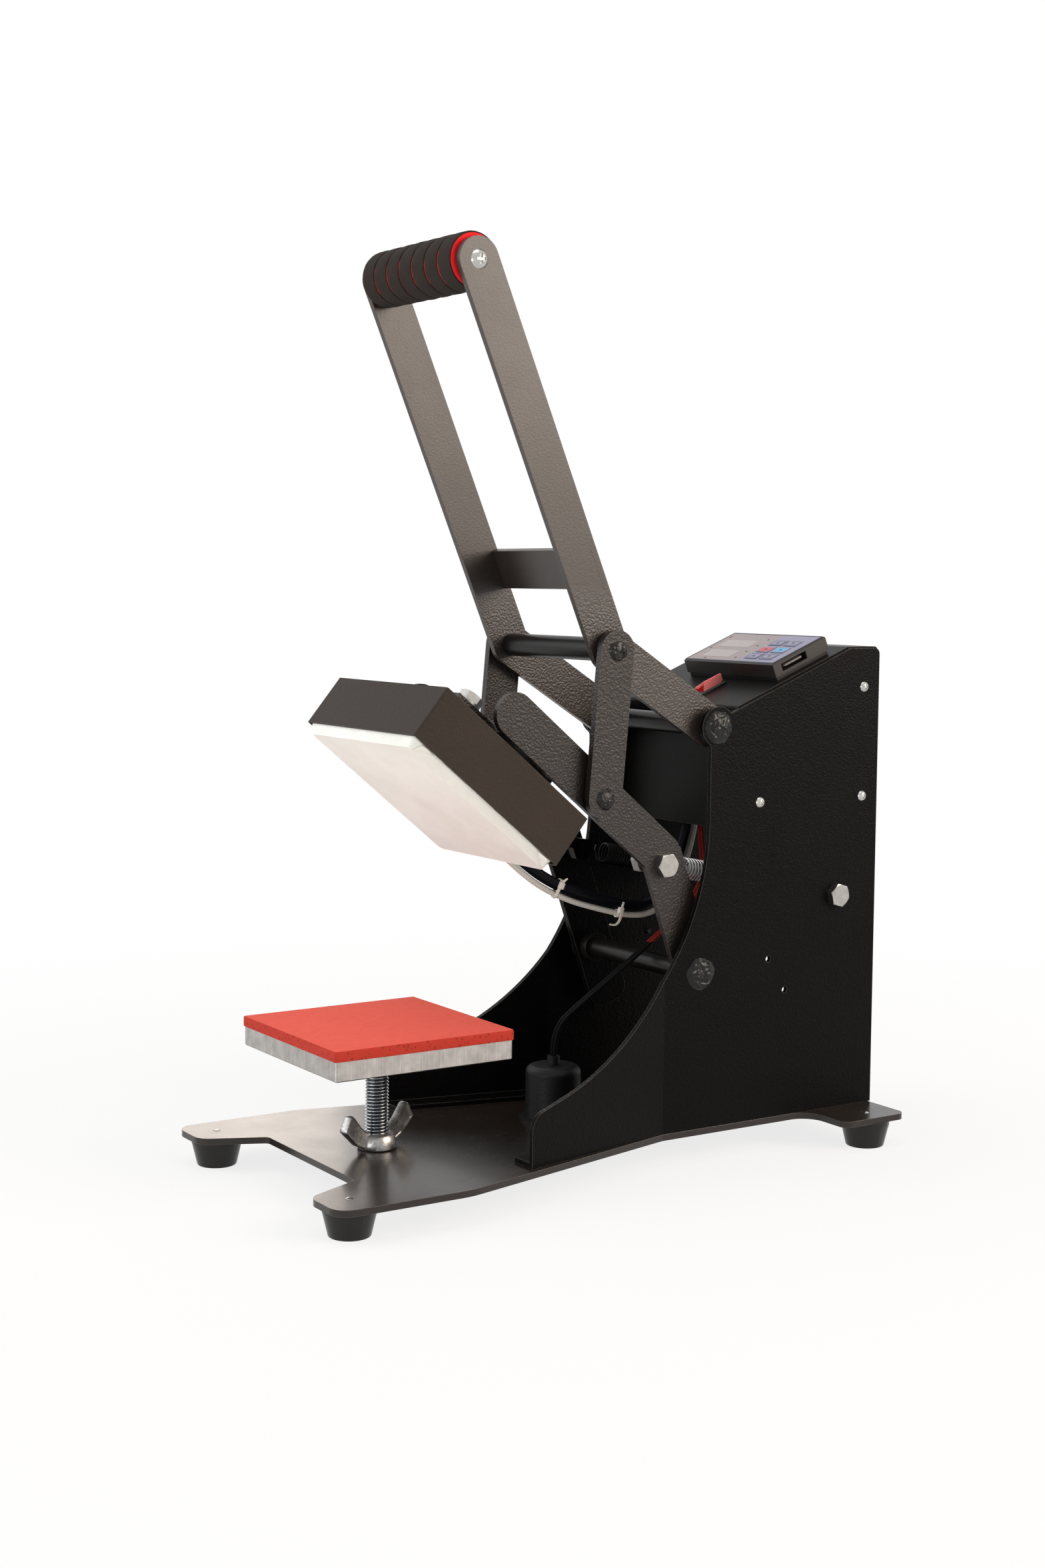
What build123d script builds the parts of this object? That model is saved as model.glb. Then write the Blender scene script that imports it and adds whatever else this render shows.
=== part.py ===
from build123d import *

import os
from math import acos, atan2, cos, degrees, hypot, pi, radians, sin, sqrt, tan

# Label heat press, in millimetres.
# X is the width, Y the depth with the front at -Y, Z is up from the table.
# The origin is on the table, under the middle of the base. The press is modelled open.

# Base plate and feet
base_length = 526.0
base_thickness = 5.0
base_leg_width = 270.0
base_ear_width = 258.0
leg_tip_inner = 92.0
notch_half_width = 70.0
notch_depth = 48.0
leg_corner_radius = 14.0
ear_depth = 64.0
ear_setback = 3.5
ear_corner_radius = 8.0
waist_fillet = 18.0
foot_height = 21.3
foot_top_radius = 19.5
foot_bottom_radius = 15.1
foot_band = 3.0
front_foot_spread = 217.4
front_foot_inset = 22.7
rear_foot_spread = 222.5
rear_foot_inset = 31.5
foot_screw_radius = 3.0
foot_screw_head_radius = 5.5
foot_screw_head_height = 3.2
foot_screw_proud = 0.8
foot_counterbore_depth = 7.0

# Side plates
body_width = 166.0
side_thickness = 4.0
side_height = 374.7
flare_angle = 12.26
seam_from_rear = 214.6
toe_from_rear = 355.0
toe_height = 38.0
toe_radius = 15.0
cut_radius = 205.5
cut_top_height = 245.0
cut_end_height = 46.8
flange_width = 22.0
flange_thickness = 4.0
panel_slope = 22.0
panel_rise = 45.5
lobe_radius = 16.0
lobe_overhang = 7.5
spare_hole_radius = 2.5
spare_holes = ((112.2, 128.8), (95.0, 102.4))

# Pivots, measured from the rear edge and from the deck
lever_pivot_from_rear = 165.0
lever_pivot_height = 315.2
arm_pivot_from_rear = 179.5
arm_pivot_height = 123.2
pivot_rod_radius = 8.0
running_clearance = 0.05
fixed_clearance = 0.1
seat_gap = 0.2
weld_radius = 12.0
weld_height = 2.6
collar_radius = 12.0
collar_width = 8.0

# Control box
cover_thickness = 1.5
cover_proud = 1.2
cover_front_gap = 20.5
cover_drop = 142.0
cover_flange = 26.0
cover_bend_radius = 3.0
cover_screw_radius = 2.0
cover_screw_head_radius = 4.3
cover_screw_head_height = 2.6
cover_screw_length = 9.0
cover_screws_from_rear = ((16.8, 343.5), (17.0, 254.7), (122.8, 254.7))

# Controller and rocker switch, measured up the sloping panel
controller_width = 116.0
controller_depth = 58.0
controller_height = 12.0
controller_foot_height = 3.0
controller_foot_inset = 1.2
controller_offset = 14.0
controller_from_lobe = 49.5
controller_bezel = 1.6
controller_edge_radius = 1.2
overlay_thickness = 0.5
key_width = 15.0
key_depth = 10.0
key_proud = 0.6
key_thickness = 1.6
key_gap = 0.3
key_travel = 0.5
key_columns = (20.4, 39.0)
key_rows = (13.0, 26.0, 39.8)
slot_length = 27.0
slot_height = 6.4
slot_depth = 14.0
slot_centre = -6.4
slot_from_front = 8.0
rocker_offset = 9.0
rocker_from_lobe = 27.5
rocker_bezel_length = 25.0
rocker_bezel_width = 18.0
rocker_bezel_height = 2.0
rocker_length = 19.5
rocker_width = 13.0
rocker_rise = 6.2
rocker_drop = 1.6
rocker_depth = 14.0
rocker_angle = 11.0
rocker_gap = 0.35

# Electrical pieces inside the box and at the rear
board_size = (112.0, 70.0)
board_thickness = 1.6
board_height = 270.0
relay_size = (28.0, 20.0, 16.0)
terminal_size = (46.0, 24.0, 12.0)
terminal_from_front = 18.0
terminal_offset = 14.0
capacitor_radius = 8.0
capacitor_height = 24.0
inlet_size = (48.0, 22.5)
inlet_body = (27.0, 19.5)
inlet_depth = 24.0
inlet_flange = 2.5
inlet_height = 262.0
inlet_offset = -42.0
inlet_pin_size = (4.0, 2.0)
transformer_radius = 22.0
transformer_height = 44.0
transformer_from_rear = 259.0
transformer_offset = -4.0
transformer_flange_radius = 27.0
transformer_flange = 2.0
transformer_stud_radius = 5.0
transformer_stud_height = 7.0
lead_radius = 1.5

# Lower platen
platen_from_rear = 421.5
pad_size = 150.0
pad_thickness = 8.0
platen_overhang = 0.8
platen_thickness = 14.5
platen_lift = 73.3
platen_edge = 0.8
boss_radius = 12.0
boss_height = 11.0
screw_radius = 9.0
screw_end_height = 7.8
screw_socket_depth = 8.0
base_nut_size = 27.0
base_nut_height = 12.0
wing_hub_radius = 15.0
wing_hub_top_radius = 12.5
wing_hub_height = 12.0
wing_span = 74.0
wing_height = 33.0
wing_thickness = 6.0
wing_turn = -73.0

# Heater head, drawn lying flat on the pad and then swung open
head_tilt = 39.7
press_gap = 5.9
heater_size = 150.0
heater_drop = 7.1
heater_block_thickness = 22.0
heater_block_gap = 1.4
cloth_thickness = 1.0
cloth_gap = 0.6
cloth_tuck = 4.0
cloth_rear_gap = 1.6
head_width = 165.0
head_length = 159.0
head_height = 43.2
head_sheet = 1.5
head_front_overhang = 5.8
element_radius = 4.0
element_span = 96.0

# Head arms
arm_spread = 143.4
arm_thickness = 5.0
arm_depth = 33.2
arm_gap = 7.6
arm_front_setback = 47.9
arm_nose_radius = 15.5
elbow_setback = 240.0
arm_leg_angle = 70.4
arm_leg_length = 152.0
arm_leg_width = 35.5
arm_elbow_radius = 22.0
link_pin_setback = 162.3
link_pin_rise = 21.4
tab_start = 64.0
tab_length = 37.0
hanger_thickness = 8.0
hanger_tongue = 46.0
hanger_overreach = 30.0
hanger_bolt_spread = 72.0
hanger_bolt_front = 44.0
hanger_bolt_pitch = 77.0

# Toggle lever and links
crank_length = 113.4
knee_lock = 2.5
lever_bend = 145.2
handle_length = 302.6
lever_width = 33.0
lever_thickness = 5.0
lever_spread = 143.4
tie_plate_up = 60.0
tie_plate_height = 32.0
tie_plate_thickness = 5.0
knee_rod_radius = 9.0
link_pin_radius = 6.0
link_thickness = 6.0
link_width = 30.0
link_stand_off = 4.0
link_spacer_radius = 11.0
pin_head_radius = 7.5
pin_head_height = 2.8
open_pivot_gap = 0.3

# Grip
grip_radius = 20.3
grip_core_radius = 17.8
grip_rod_radius = 10.0
grip_end_gap = 1.5
grip_rings = 7
grip_groove = 1.6
grip_edge_radius = 1.4
grip_screw_radius = 4.0
grip_screw_head_radius = 7.1
grip_screw_head_height = 3.6
grip_screw_length = 24.0

# Return springs and their bolts
bolt_radius = 5.0
bolt_flats = 17.0
bolt_head_height = 6.4
nut_height = 8.0
washer_radius = 10.0
washer_thickness = 2.0
spring_spread = 108.0
spring_bolt_reach = 39.0
rear_bolt_from_rear = 43.0
rear_bolt_height = 175.6
arm_bolt_setback = 246.0
arm_bolt_rise = 19.5
spring_wire_radius = 1.0
spring_coil_radius = 8.0
spring_pitch = 3.0
spring_turns = 26
spring_front_lead = 30.0
spring_bend = 7.0

# Heater leads from the head to the control box: hand-chosen points after the wall
lead_route = (
    (-9.0, -8.0, 213.5),
    (-3.0, 17.0, 203.0),
    (2.0, 43.0, 198.5),
    (4.0, 69.0, 199.0),
    (5.0, 93.0, 206.0),
    (5.0, 112.0, 221.0),
    (5.0, 126.0, 241.0),
    (5.0, 136.5, 262.0),
)
lead_straight = 24.0
heater_lead_radius = 2.4
heater_sleeve_radius = 4.5
lead_radii_gap = heater_lead_radius + heater_sleeve_radius + 0.2
lead_offset = -15.0
lead_rise = 6.6
gland_rim = 1.6
gland_neck = 0.8
gland_length = 5.0
tie_band = 1.2
tie_width = 4.0
tie_lock = (5.0, 4.4, 4.0)
tie_clearance = 0.4
tie_runs = (1, 3)

# Heights and depths that follow from the sizes above
rear_y = base_length / 2
front_y = -base_length / 2
deck_z = foot_height + base_thickness
plate_rear_y = rear_y - cover_proud
plate_outer = body_width / 2
plate_inner = plate_outer - side_thickness
top_z = deck_z + side_height
seam_y = rear_y - seam_from_rear
toe_y = rear_y - toe_from_rear
lever_pivot = (rear_y - lever_pivot_from_rear, deck_z + lever_pivot_height)
arm_pivot = (rear_y - arm_pivot_from_rear, deck_z + arm_pivot_height)
rear_bolt = (rear_y - rear_bolt_from_rear, deck_z + rear_bolt_height)
platen_y = rear_y - platen_from_rear
platen_z = deck_z + platen_lift
pad_top_z = platen_z + platen_thickness + pad_thickness
heater_face_z = pad_top_z + press_gap
head_bottom_z = heater_face_z + heater_drop
head_top_z = head_bottom_z + head_height
head_front_y = platen_y - heater_size / 2 - head_front_overhang
head_rear_y = head_front_y + head_length
arm_outer = arm_spread / 2
arm_inner = arm_outer - arm_thickness
lever_outer = lever_spread / 2
lever_inner = lever_outer - lever_thickness
link_inner = lever_outer + link_stand_off
link_outer = link_inner + link_thickness
cover_front_y = lever_pivot[0] + cover_front_gap
cover_bottom_z = top_z - cover_drop
slope_rear_y = cover_front_y + panel_rise / tan(radians(panel_slope))
slope_front_z = top_z - panel_rise
spring_x = spring_spread / 2
terminal_z = deck_z + board_height - board_thickness / 2 - terminal_size[2]
ROOT_AXIS = (1, 0, 0)

# The panel's own frame: x across, y up the slope, z square to the sheet
panel = Plane(
    origin=(0, cover_front_y, slope_front_z + cover_proud),
    x_dir=(1, 0, 0),
    z_dir=(0, -sin(radians(panel_slope)), cos(radians(panel_slope))),
)


def turned(point, centre, angle):
    """A (y, z) point turned about a centre, in degrees, front to floor as positive."""
    c, s = cos(radians(angle)), sin(radians(angle))
    dy, dz = point[0] - centre[0], point[1] - centre[1]
    return (centre[0] + dy * c - dz * s, centre[1] + dy * s + dz * c)


def bearing(start, end):
    """Direction from one (y, z) point to another, in degrees."""
    return degrees(atan2(end[1] - start[1], end[0] - start[0]))


def span(start, end):
    """Distance between two (y, z) points."""
    return hypot(end[0] - start[0], end[1] - start[1])


def step_from(start, angle, length):
    """The (y, z) point a length away from another, along an angle in degrees."""
    return (start[0] + length * cos(radians(angle)), start[1] + length * sin(radians(angle)))


# Toggle: the closed pose fixes the link, and the open pose follows from it
link_pin_closed = (head_front_y + link_pin_setback, head_top_z + link_pin_rise)
link_pin = turned(link_pin_closed, arm_pivot, -head_tilt)
knee_closed = step_from(lever_pivot, bearing(lever_pivot, link_pin_closed) + knee_lock, crank_length)
link_length = span(knee_closed, link_pin_closed)
pivot_to_pin = span(lever_pivot, link_pin)
knee_angle = degrees(
    acos((crank_length**2 + pivot_to_pin**2 - link_length**2) / (2 * crank_length * pivot_to_pin))
)
knee = step_from(lever_pivot, bearing(lever_pivot, link_pin) - knee_angle, crank_length)
handle_bearing = bearing(knee, lever_pivot) + lever_bend
grip = step_from(knee, handle_bearing, handle_length)
lever_swing = (bearing(lever_pivot, knee_closed) - bearing(lever_pivot, knee)) % 360
link_turn = bearing(knee_closed, link_pin_closed) - bearing(knee, link_pin)
link_swing = (link_turn + 180) % 360 - 180 - head_tilt


def opened(shape):
    """A piece of the head, swung from lying flat on the pad to the open pose."""
    return shape.rotate(Axis((0, *arm_pivot), ROOT_AXIS), -head_tilt)


def outline(corners):
    """Closed flat face through (u, v, radius) corners."""
    face = make_face(Polyline(*[(u, v) for u, v, _ in corners], close=True))
    for u, v, radius in corners:
        if radius:
            corner = face.vertices().sort_by_distance((u, v, 0))[0]
            face = fillet(corner, radius)
    return face


def nearest(shape, *points):
    """The vertices of a flat face nearest to the given points."""
    return [shape.vertices().sort_by_distance((u, v, 0))[0] for u, v in points]


def across(face, x_from, width):
    """A (y, z) face made thick along +X."""
    return extrude(Plane.YZ.offset(x_from) * face, amount=width)


def pin(centre, radius, x_from, x_to):
    """A round bar across the width at a (y, z) centre."""
    disc = Plane(origin=(x_from, *centre), z_dir=(1, 0, 0)) * Circle(radius)
    return extrude(disc, amount=x_to - x_from)


def post(x, y, radius, z_from, z_to):
    """An upright round bar."""
    return Pos(x, y, z_from) * Cylinder(radius, z_to - z_from, align=(Align.CENTER, Align.CENTER, Align.MIN))


def block(x_range, y_range, z_range):
    """A box between three pairs of limits."""
    size = [high - low for low, high in (x_range, y_range, z_range)]
    centre = [(high + low) / 2 for low, high in (x_range, y_range, z_range)]
    return Pos(*centre) * Box(*size)


def mirrored(shape):
    """The same piece on the left."""
    return mirror(shape, about=Plane.YZ)


def pair(shape):
    """A right-hand piece together with its mirror image."""
    return Compound(children=[*shape.solids(), *mirrored(shape).solids()])


def group(shapes):
    """Separate solids kept together in one node."""
    return Compound(children=[solid for shape in shapes for solid in shape.solids()])


def dome(radius, height):
    """A low round cap on z = 0, its top a spherical curve."""
    ball = (radius**2 + height**2) / (2 * height)
    profile = make_face(
        Line((0, 0), (radius, 0))
        + RadiusArc((radius, 0), (0, height), -ball)
        + Line((0, height), (0, 0))
    )
    return revolve(Plane.XZ * profile, Axis.Z)


def on_x(shape, centre, x):
    """A piece drawn along +Z, laid to point along +X at a (y, z) centre."""
    return Plane(origin=(x, *centre), z_dir=(1, 0, 0)) * shape


def hex_prism(flats, height):
    """A hexagon head with its top corners turned off."""
    corner = flats / sqrt(3)
    blank = extrude(RegularPolygon(radius=corner, side_count=6), amount=height)
    slope = (corner - flats / 2) * tan(radians(30))
    turned_down = make_face(
        Polyline((0, 0), (corner, 0), (corner, height - slope), (flats / 2, height), (0, height), close=True)
    )
    return blank & revolve(Plane.XZ * turned_down, Axis.Z)


def hex_bolt(length):
    """A hexagon bolt: shank from z = 0 down, head on top."""
    head = hex_prism(bolt_flats, bolt_head_height)
    shank = Cylinder(bolt_radius, length, align=(Align.CENTER, Align.CENTER, Align.MAX))
    return head + shank


def hex_nut():
    """A hexagon nut standing on z = 0, with clearance on its bolt."""
    return hex_prism(bolt_flats, nut_height) - Cylinder(
        bolt_radius + fixed_clearance, nut_height, align=(Align.CENTER, Align.CENTER, Align.MIN)
    )


def ring(outer, inner, height):
    """A plain washer or collar standing on z = 0."""
    low = (Align.CENTER, Align.CENTER, Align.MIN)
    return Cylinder(outer, height, align=low) - Cylinder(inner, height, align=low)


def pan_screw(radius, length, head_radius, head_height):
    """A pan-head screw: shank from z = 0 down, cross recess in its domed head."""
    head = dome(head_radius, head_height) & Cylinder(head_radius, 2 * head_height)
    cross = Box(head_radius, head_radius / 4, head_height) + Box(head_radius / 4, head_radius, head_height)
    shank = Cylinder(radius, length, align=(Align.CENTER, Align.CENTER, Align.MAX))
    return head - Pos(0, 0, head_height) * cross + shank


# Base


def flare_x(y):
    """Outer face of a side plate at a depth, wider in front of the bend line."""
    return plate_outer + max(0.0, seam_y - y) * tan(radians(flare_angle))


def base_plate():
    """Flat steel plate with two front legs, a waist and two rear ears."""
    half_leg = base_leg_width / 2
    half_ear = base_ear_width / 2
    shoulder_y = seam_y - (half_leg - plate_outer) / tan(radians(flare_angle + 2))
    ear_rear = rear_y - ear_setback
    ear_front = ear_rear - ear_depth
    right = [
        (notch_half_width, front_y + notch_depth, 5.0),
        (leg_tip_inner, front_y, leg_corner_radius),
        (half_leg, front_y, leg_corner_radius),
        (half_leg, shoulder_y, 60.0),
        (plate_outer, seam_y, 0.0),
        (plate_outer, ear_front, waist_fillet),
        (half_ear, ear_front, ear_corner_radius),
        (half_ear, ear_rear, ear_corner_radius),
    ]
    left = [(-x, y, radius) for x, y, radius in reversed(right)]
    plate = extrude(Pos(0, 0, foot_height) * outline(right + left), amount=base_thickness)
    for x, y in foot_places():
        plate -= post(x, y, foot_screw_radius + fixed_clearance, foot_height, deck_z)
    return plate - post(0, platen_y, screw_radius + running_clearance, foot_height, deck_z)


def foot_places():
    """Centres of the four feet."""
    front = front_y + front_foot_inset
    rear = rear_y - rear_foot_inset
    return [
        (side * spread / 2, y)
        for spread, y in ((front_foot_spread, front), (rear_foot_spread, rear))
        for side in (-1, 1)
    ]


def rubber_foot():
    """Tapered foot with a counterbore for its screw from below."""
    profile = make_face(
        Polyline(
            (0, 0),
            (foot_bottom_radius, 0),
            (foot_top_radius, foot_height - foot_band),
            (foot_top_radius, foot_height),
            (0, foot_height),
            close=True,
        )
    )
    profile = fillet(nearest(profile, (foot_bottom_radius, 0)), 1.5)
    foot = revolve(Plane.XZ * profile, Axis.Z)
    foot -= post(0, 0, foot_screw_head_radius + 0.5, 0, foot_counterbore_depth)
    return foot - post(0, 0, foot_screw_radius + fixed_clearance, 0, foot_height)


def foot_screw():
    """Screw from inside the foot up through the plate, its end just proud of the deck."""
    head_top = foot_counterbore_depth
    head = post(0, 0, foot_screw_head_radius, head_top - foot_screw_head_height, head_top)
    shank = post(0, 0, foot_screw_radius, foot_counterbore_depth, deck_z)
    return head + shank + Pos(0, 0, deck_z) * dome(foot_screw_radius, foot_screw_proud)


def base_nut():
    """Square nut under the deck that carries the platen screw."""
    place = Pos(0, platen_y, foot_height - base_nut_height / 2)
    nut = place * Box(base_nut_size, base_nut_size, base_nut_height)
    return nut - post(0, platen_y, screw_radius + running_clearance, 0, foot_height)


# Side plates


def side_profile():
    """Side plate seen from the side: lobe, front cut-out, toe, sloping top."""
    edge_y = lever_pivot[0] - lobe_overhang
    cut_centre = (edge_y - cut_radius, deck_z + cut_top_height)
    end_z = deck_z + cut_end_height
    drop = cut_centre[1] - end_z
    end_y = cut_centre[0] + sqrt(cut_radius**2 - drop**2)
    end_bearing = bearing(cut_centre, (end_y, end_z))
    mid = step_from(cut_centre, end_bearing / 2, cut_radius)
    slope = tan(radians(panel_slope))
    lobe_side = (lever_pivot[0] + 5.0, slope_front_z - (cover_front_y - lever_pivot[0] - 5.0) * slope)
    curve = (
        Polyline(
            (edge_y, cut_centre[1]),
            (edge_y, lever_pivot[1] - lobe_radius / 2),
            lever_pivot,
            lobe_side,
            (slope_rear_y, top_z),
            (plate_rear_y, top_z),
            (plate_rear_y, deck_z),
            (toe_y, deck_z),
            (toe_y, deck_z + toe_height),
            (end_y, end_z),
        )
        + ThreePointArc((end_y, end_z), mid, (edge_y, cut_centre[1]))
    )
    face = make_face(curve)
    face = fillet(nearest(face, (toe_y, deck_z + toe_height)), toe_radius)
    face = fillet(nearest(face, (plate_rear_y, top_z)), 5.0)
    face = face + Pos(*lever_pivot) * Circle(lobe_radius)
    side_drop = sqrt(lobe_radius**2 - lobe_overhang**2)
    return fillet(nearest(face, (edge_y, lever_pivot[1] - side_drop)), 4.0)


def sheet_plan(inset, width):
    """Plan of a strip of bent sheet that follows the side plate's outer face."""
    outer = [(plate_outer, rear_y), (plate_outer, seam_y), (flare_x(toe_y), toe_y)]
    return make_face(
        Polyline(
            *[(x - inset, y) for x, y in outer],
            *[(x - inset - width, y) for x, y in reversed(outer)],
            close=True,
        )
    )


def side_plate():
    """Right side plate: flat behind the bend line, flared in front, foot flange turned inwards."""
    sheet = extrude(Pos(0, 0, deck_z) * sheet_plan(0, side_thickness), amount=side_height)
    plate = sheet & across(side_profile(), 0, base_leg_width)
    strip = extrude(Pos(0, 0, deck_z) * sheet_plan(side_thickness / 2, flange_width), amount=flange_thickness)
    strip &= block((0, base_leg_width), (toe_y, plate_rear_y), (0, top_z))
    plate += strip
    for centre in (lever_pivot, arm_pivot):
        plate -= pin(centre, pivot_rod_radius + fixed_clearance, 0, base_leg_width)
    plate -= pin(rear_bolt, bolt_radius + fixed_clearance, 0, base_leg_width)
    for from_rear, height in spare_holes:
        plate -= pin((rear_y - from_rear, deck_z + height), spare_hole_radius, 0, base_leg_width)
    for from_rear, height in cover_screws_from_rear:
        centre = (rear_y - from_rear, deck_z + height)
        plate -= pin(centre, cover_screw_radius + fixed_clearance, 0, base_leg_width)
    return plate


def pivot_rod(centre):
    """Rod across both side plates, with a weld bead over each end."""
    rod = pin(centre, pivot_rod_radius, -plate_outer, plate_outer)
    bead = on_x(dome(weld_radius, weld_height), centre, plate_outer)
    return rod + bead + mirrored(bead)


def collars(centre, swing_outer, swing_inner):
    """Collars on a rod, on both sides of each swinging plate."""
    bore = pivot_rod_radius + running_clearance
    outer_width = plate_inner - swing_outer - seat_gap
    outer = on_x(ring(collar_radius, bore, outer_width), centre, plate_inner - outer_width)
    inner = on_x(ring(collar_radius, bore, collar_width), centre, swing_inner - seat_gap - collar_width)
    return group([outer, mirrored(outer), inner, mirrored(inner)])


# Control box


def cover_profile(inset):
    """Side view of the box cover, shrunk by an inset and left long below."""
    rise = tan(radians(panel_slope))
    square = 1 / cos(radians(panel_slope))
    front = cover_front_y + inset
    rear = rear_y - inset
    top = top_z + cover_proud - inset
    front_top = slope_front_z + cover_proud - inset * square + inset * rise
    bend_y = front + (top - front_top) / rise
    low = cover_bottom_z - cover_flange * 2
    radius = max(0.5, cover_bend_radius - inset)
    return outline(
        [
            (front, low, 0),
            (front, front_top, radius),
            (bend_y, top, radius),
            (rear, top, radius),
            (rear, low, 0),
        ]
    )


def control_cover():
    """Folded sheet over the controls: front, sloping top and rear, with side flanges."""
    half = plate_inner - seat_gap
    sheet = across(cover_profile(0) - cover_profile(cover_thickness), -half, 2 * half)
    band = cover_profile(0) - cover_profile(cover_flange)
    flange = across(band, half - cover_thickness, cover_thickness)
    for from_rear, height in cover_screws_from_rear:
        centre = (rear_y - from_rear, deck_z + height)
        flange -= pin(centre, cover_screw_radius + fixed_clearance, 0, half)
    cover = sheet + flange + mirrored(flange)
    cover &= block((-half, half), (cover_front_y, rear_y), (cover_bottom_z, 2 * top_z))
    cutout = Pos(rocker_offset, rocker_from_lobe, 0) * Box(
        rocker_bezel_width - 4.0, rocker_bezel_length - 4.0, 4 * cover_thickness
    )
    wire_hole = Pos(controller_offset, controller_from_lobe + controller_depth / 2, 0) * Cylinder(9.0, 12.0)
    cover -= panel * cutout
    cover -= panel * wire_hole
    inlet = block(
        (inlet_offset - inlet_body[0] / 2 - 0.2, inlet_offset + inlet_body[0] / 2 + 0.2),
        (rear_y - 3 * cover_thickness, rear_y + 1.0),
        (deck_z + inlet_height - inlet_body[1] / 2 - 0.2, deck_z + inlet_height + inlet_body[1] / 2 + 0.2),
    )
    return cover - inlet


def cover_screws():
    """Six pan-head screws through the side plates into the cover."""
    screw = pan_screw(
        cover_screw_radius, cover_screw_length, cover_screw_head_radius, cover_screw_head_height
    )
    right = [
        on_x(screw, (rear_y - from_rear, deck_z + height), plate_outer)
        for from_rear, height in cover_screws_from_rear
    ]
    return group(right + [mirrored(screw) for screw in right])


def on_controller(x, y, z):
    """Place above the panel, from the middle of the controller's front edge and its top."""
    top = controller_foot_height + controller_height
    return Pos(controller_offset + x, controller_from_lobe + y, top + z)


def key_places():
    """Centres of the keys on the controller's face."""
    return [(x, y) for y in key_rows for x in key_columns]


def controller_base():
    """Lower half of the controller's housing, a little smaller all round."""
    middle = controller_from_lobe + controller_depth / 2
    base = Pos(controller_offset, middle, controller_foot_height / 2) * Box(
        controller_width - 2 * controller_foot_inset,
        controller_depth - 2 * controller_foot_inset,
        controller_foot_height,
    )
    base -= Pos(controller_offset, middle, 0) * Cylinder(9.0, 12.0)
    return panel * base


def controller_housing():
    """Upper half: recessed face for the overlay, pockets under the keys, card slot."""
    low = (Align.CENTER, Align.MIN, Align.MAX)
    shell = Box(controller_width, controller_depth, controller_height, align=low)
    shell = chamfer(shell.faces().sort_by(Axis.Z)[-1].edges(), controller_edge_radius)
    shell -= Pos(0, controller_bezel, 0) * Box(
        controller_width - 2 * controller_bezel,
        controller_depth - 2 * controller_bezel,
        overlay_thickness,
        align=low,
    )
    shell -= Pos(controller_width / 2 - slot_depth / 2, slot_from_front + slot_length / 2, slot_centre) * Box(
        slot_depth, slot_length, slot_height
    )
    pocket = key_thickness - key_proud + key_travel + 0.1
    for x, y in key_places():
        shell -= Pos(x, y, 0) * Box(key_width + 2 * key_gap, key_depth + 2 * key_gap, 2 * pocket)
    return panel * (on_controller(0, 0, 0) * shell)


def controller_overlay():
    """Printed film over the controller's face, open at the keys."""
    film = Pos(0, controller_depth / 2, -overlay_thickness / 2) * Box(
        controller_width - 2 * controller_bezel - 2 * key_gap,
        controller_depth - 2 * controller_bezel - 2 * key_gap,
        overlay_thickness,
    )
    for x, y in key_places():
        film -= Pos(x, y, 0) * Box(key_width + 2 * key_gap, key_depth + 2 * key_gap, 4 * overlay_thickness)
    return panel * (on_controller(0, 0, 0) * film)


def key(x, y):
    """One push key, standing a little proud of the film."""
    cap = Pos(0, 0, key_proud - key_thickness / 2) * Box(key_width, key_depth, key_thickness)
    cap = fillet(cap.edges().filter_by(Axis.Z), 1.5)
    return panel * (on_controller(x, y, 0) * cap)


def rocker_bezel():
    """Switch body with a raised frame on the panel."""
    frame = Box(rocker_bezel_width, rocker_bezel_length, rocker_bezel_height)
    frame = Pos(0, 0, rocker_bezel_height / 2) * frame
    frame = chamfer(frame.faces().sort_by(Axis.Z)[-1].edges(), 0.8)
    body = Box(
        rocker_bezel_width - 4.4,
        rocker_bezel_length - 4.4,
        rocker_depth,
        align=(Align.CENTER, Align.CENTER, Align.MAX),
    )
    window = Box(
        rocker_width + 2 * rocker_gap,
        rocker_length + 2 * rocker_gap,
        20.0,
        align=(Align.CENTER, Align.CENTER, Align.CENTER),
    )
    return panel * (Pos(rocker_offset, rocker_from_lobe, 0) * (frame + body - window))


def rocker_switch():
    """Red rocker, its front end up."""
    half = rocker_length / 2
    reach = rocker_drop + 3.0
    side = make_face(
        Polyline(
            (-half + 0.9, -reach),
            (half - 0.9, -reach),
            (half - 0.2, rocker_bezel_height),
            (half - 1.6, rocker_rise),
            (0, rocker_rise - rocker_drop),
            (-half + 1.6, rocker_rise),
            (-half + 0.2, rocker_bezel_height),
            close=True,
        )
    )
    paddle = extrude(Plane.YZ * side, amount=rocker_width / 2, both=True)
    paddle = paddle.rotate(Axis((0, 0, 0), ROOT_AXIS), -rocker_angle)
    return panel * (Pos(rocker_offset, rocker_from_lobe, 0) * paddle)


def power_board():
    """Power board across the box on four posts, with relay, capacitors and terminals."""
    y = (cover_front_y + rear_y) / 2
    z = deck_z + board_height
    board = Pos(0, y, z) * Box(board_size[0], board_size[1], board_thickness)
    board += Pos(-25, y, z + relay_size[2] / 2) * Box(*relay_size)
    board += post(20, y - 12, capacitor_radius, z, z + capacitor_height)
    board += post(20, y + 12, capacitor_radius, z, z + capacitor_height)
    terminal_y = cover_front_y + terminal_from_front
    terminal = Box(terminal_size[0], terminal_size[1], z - terminal_z)
    board += Pos(terminal_offset, terminal_y, (z + terminal_z) / 2) * terminal
    rail_z = z - board_thickness / 2
    for side in (-1, 1):
        rail_x = side * (board_size[0] / 2 - 5)
        rail_y = (cover_front_y + cover_thickness, y + 30)
        board += block((rail_x - 4, rail_x + 4), rail_y, (rail_z - 6, rail_z))
    return board


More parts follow.
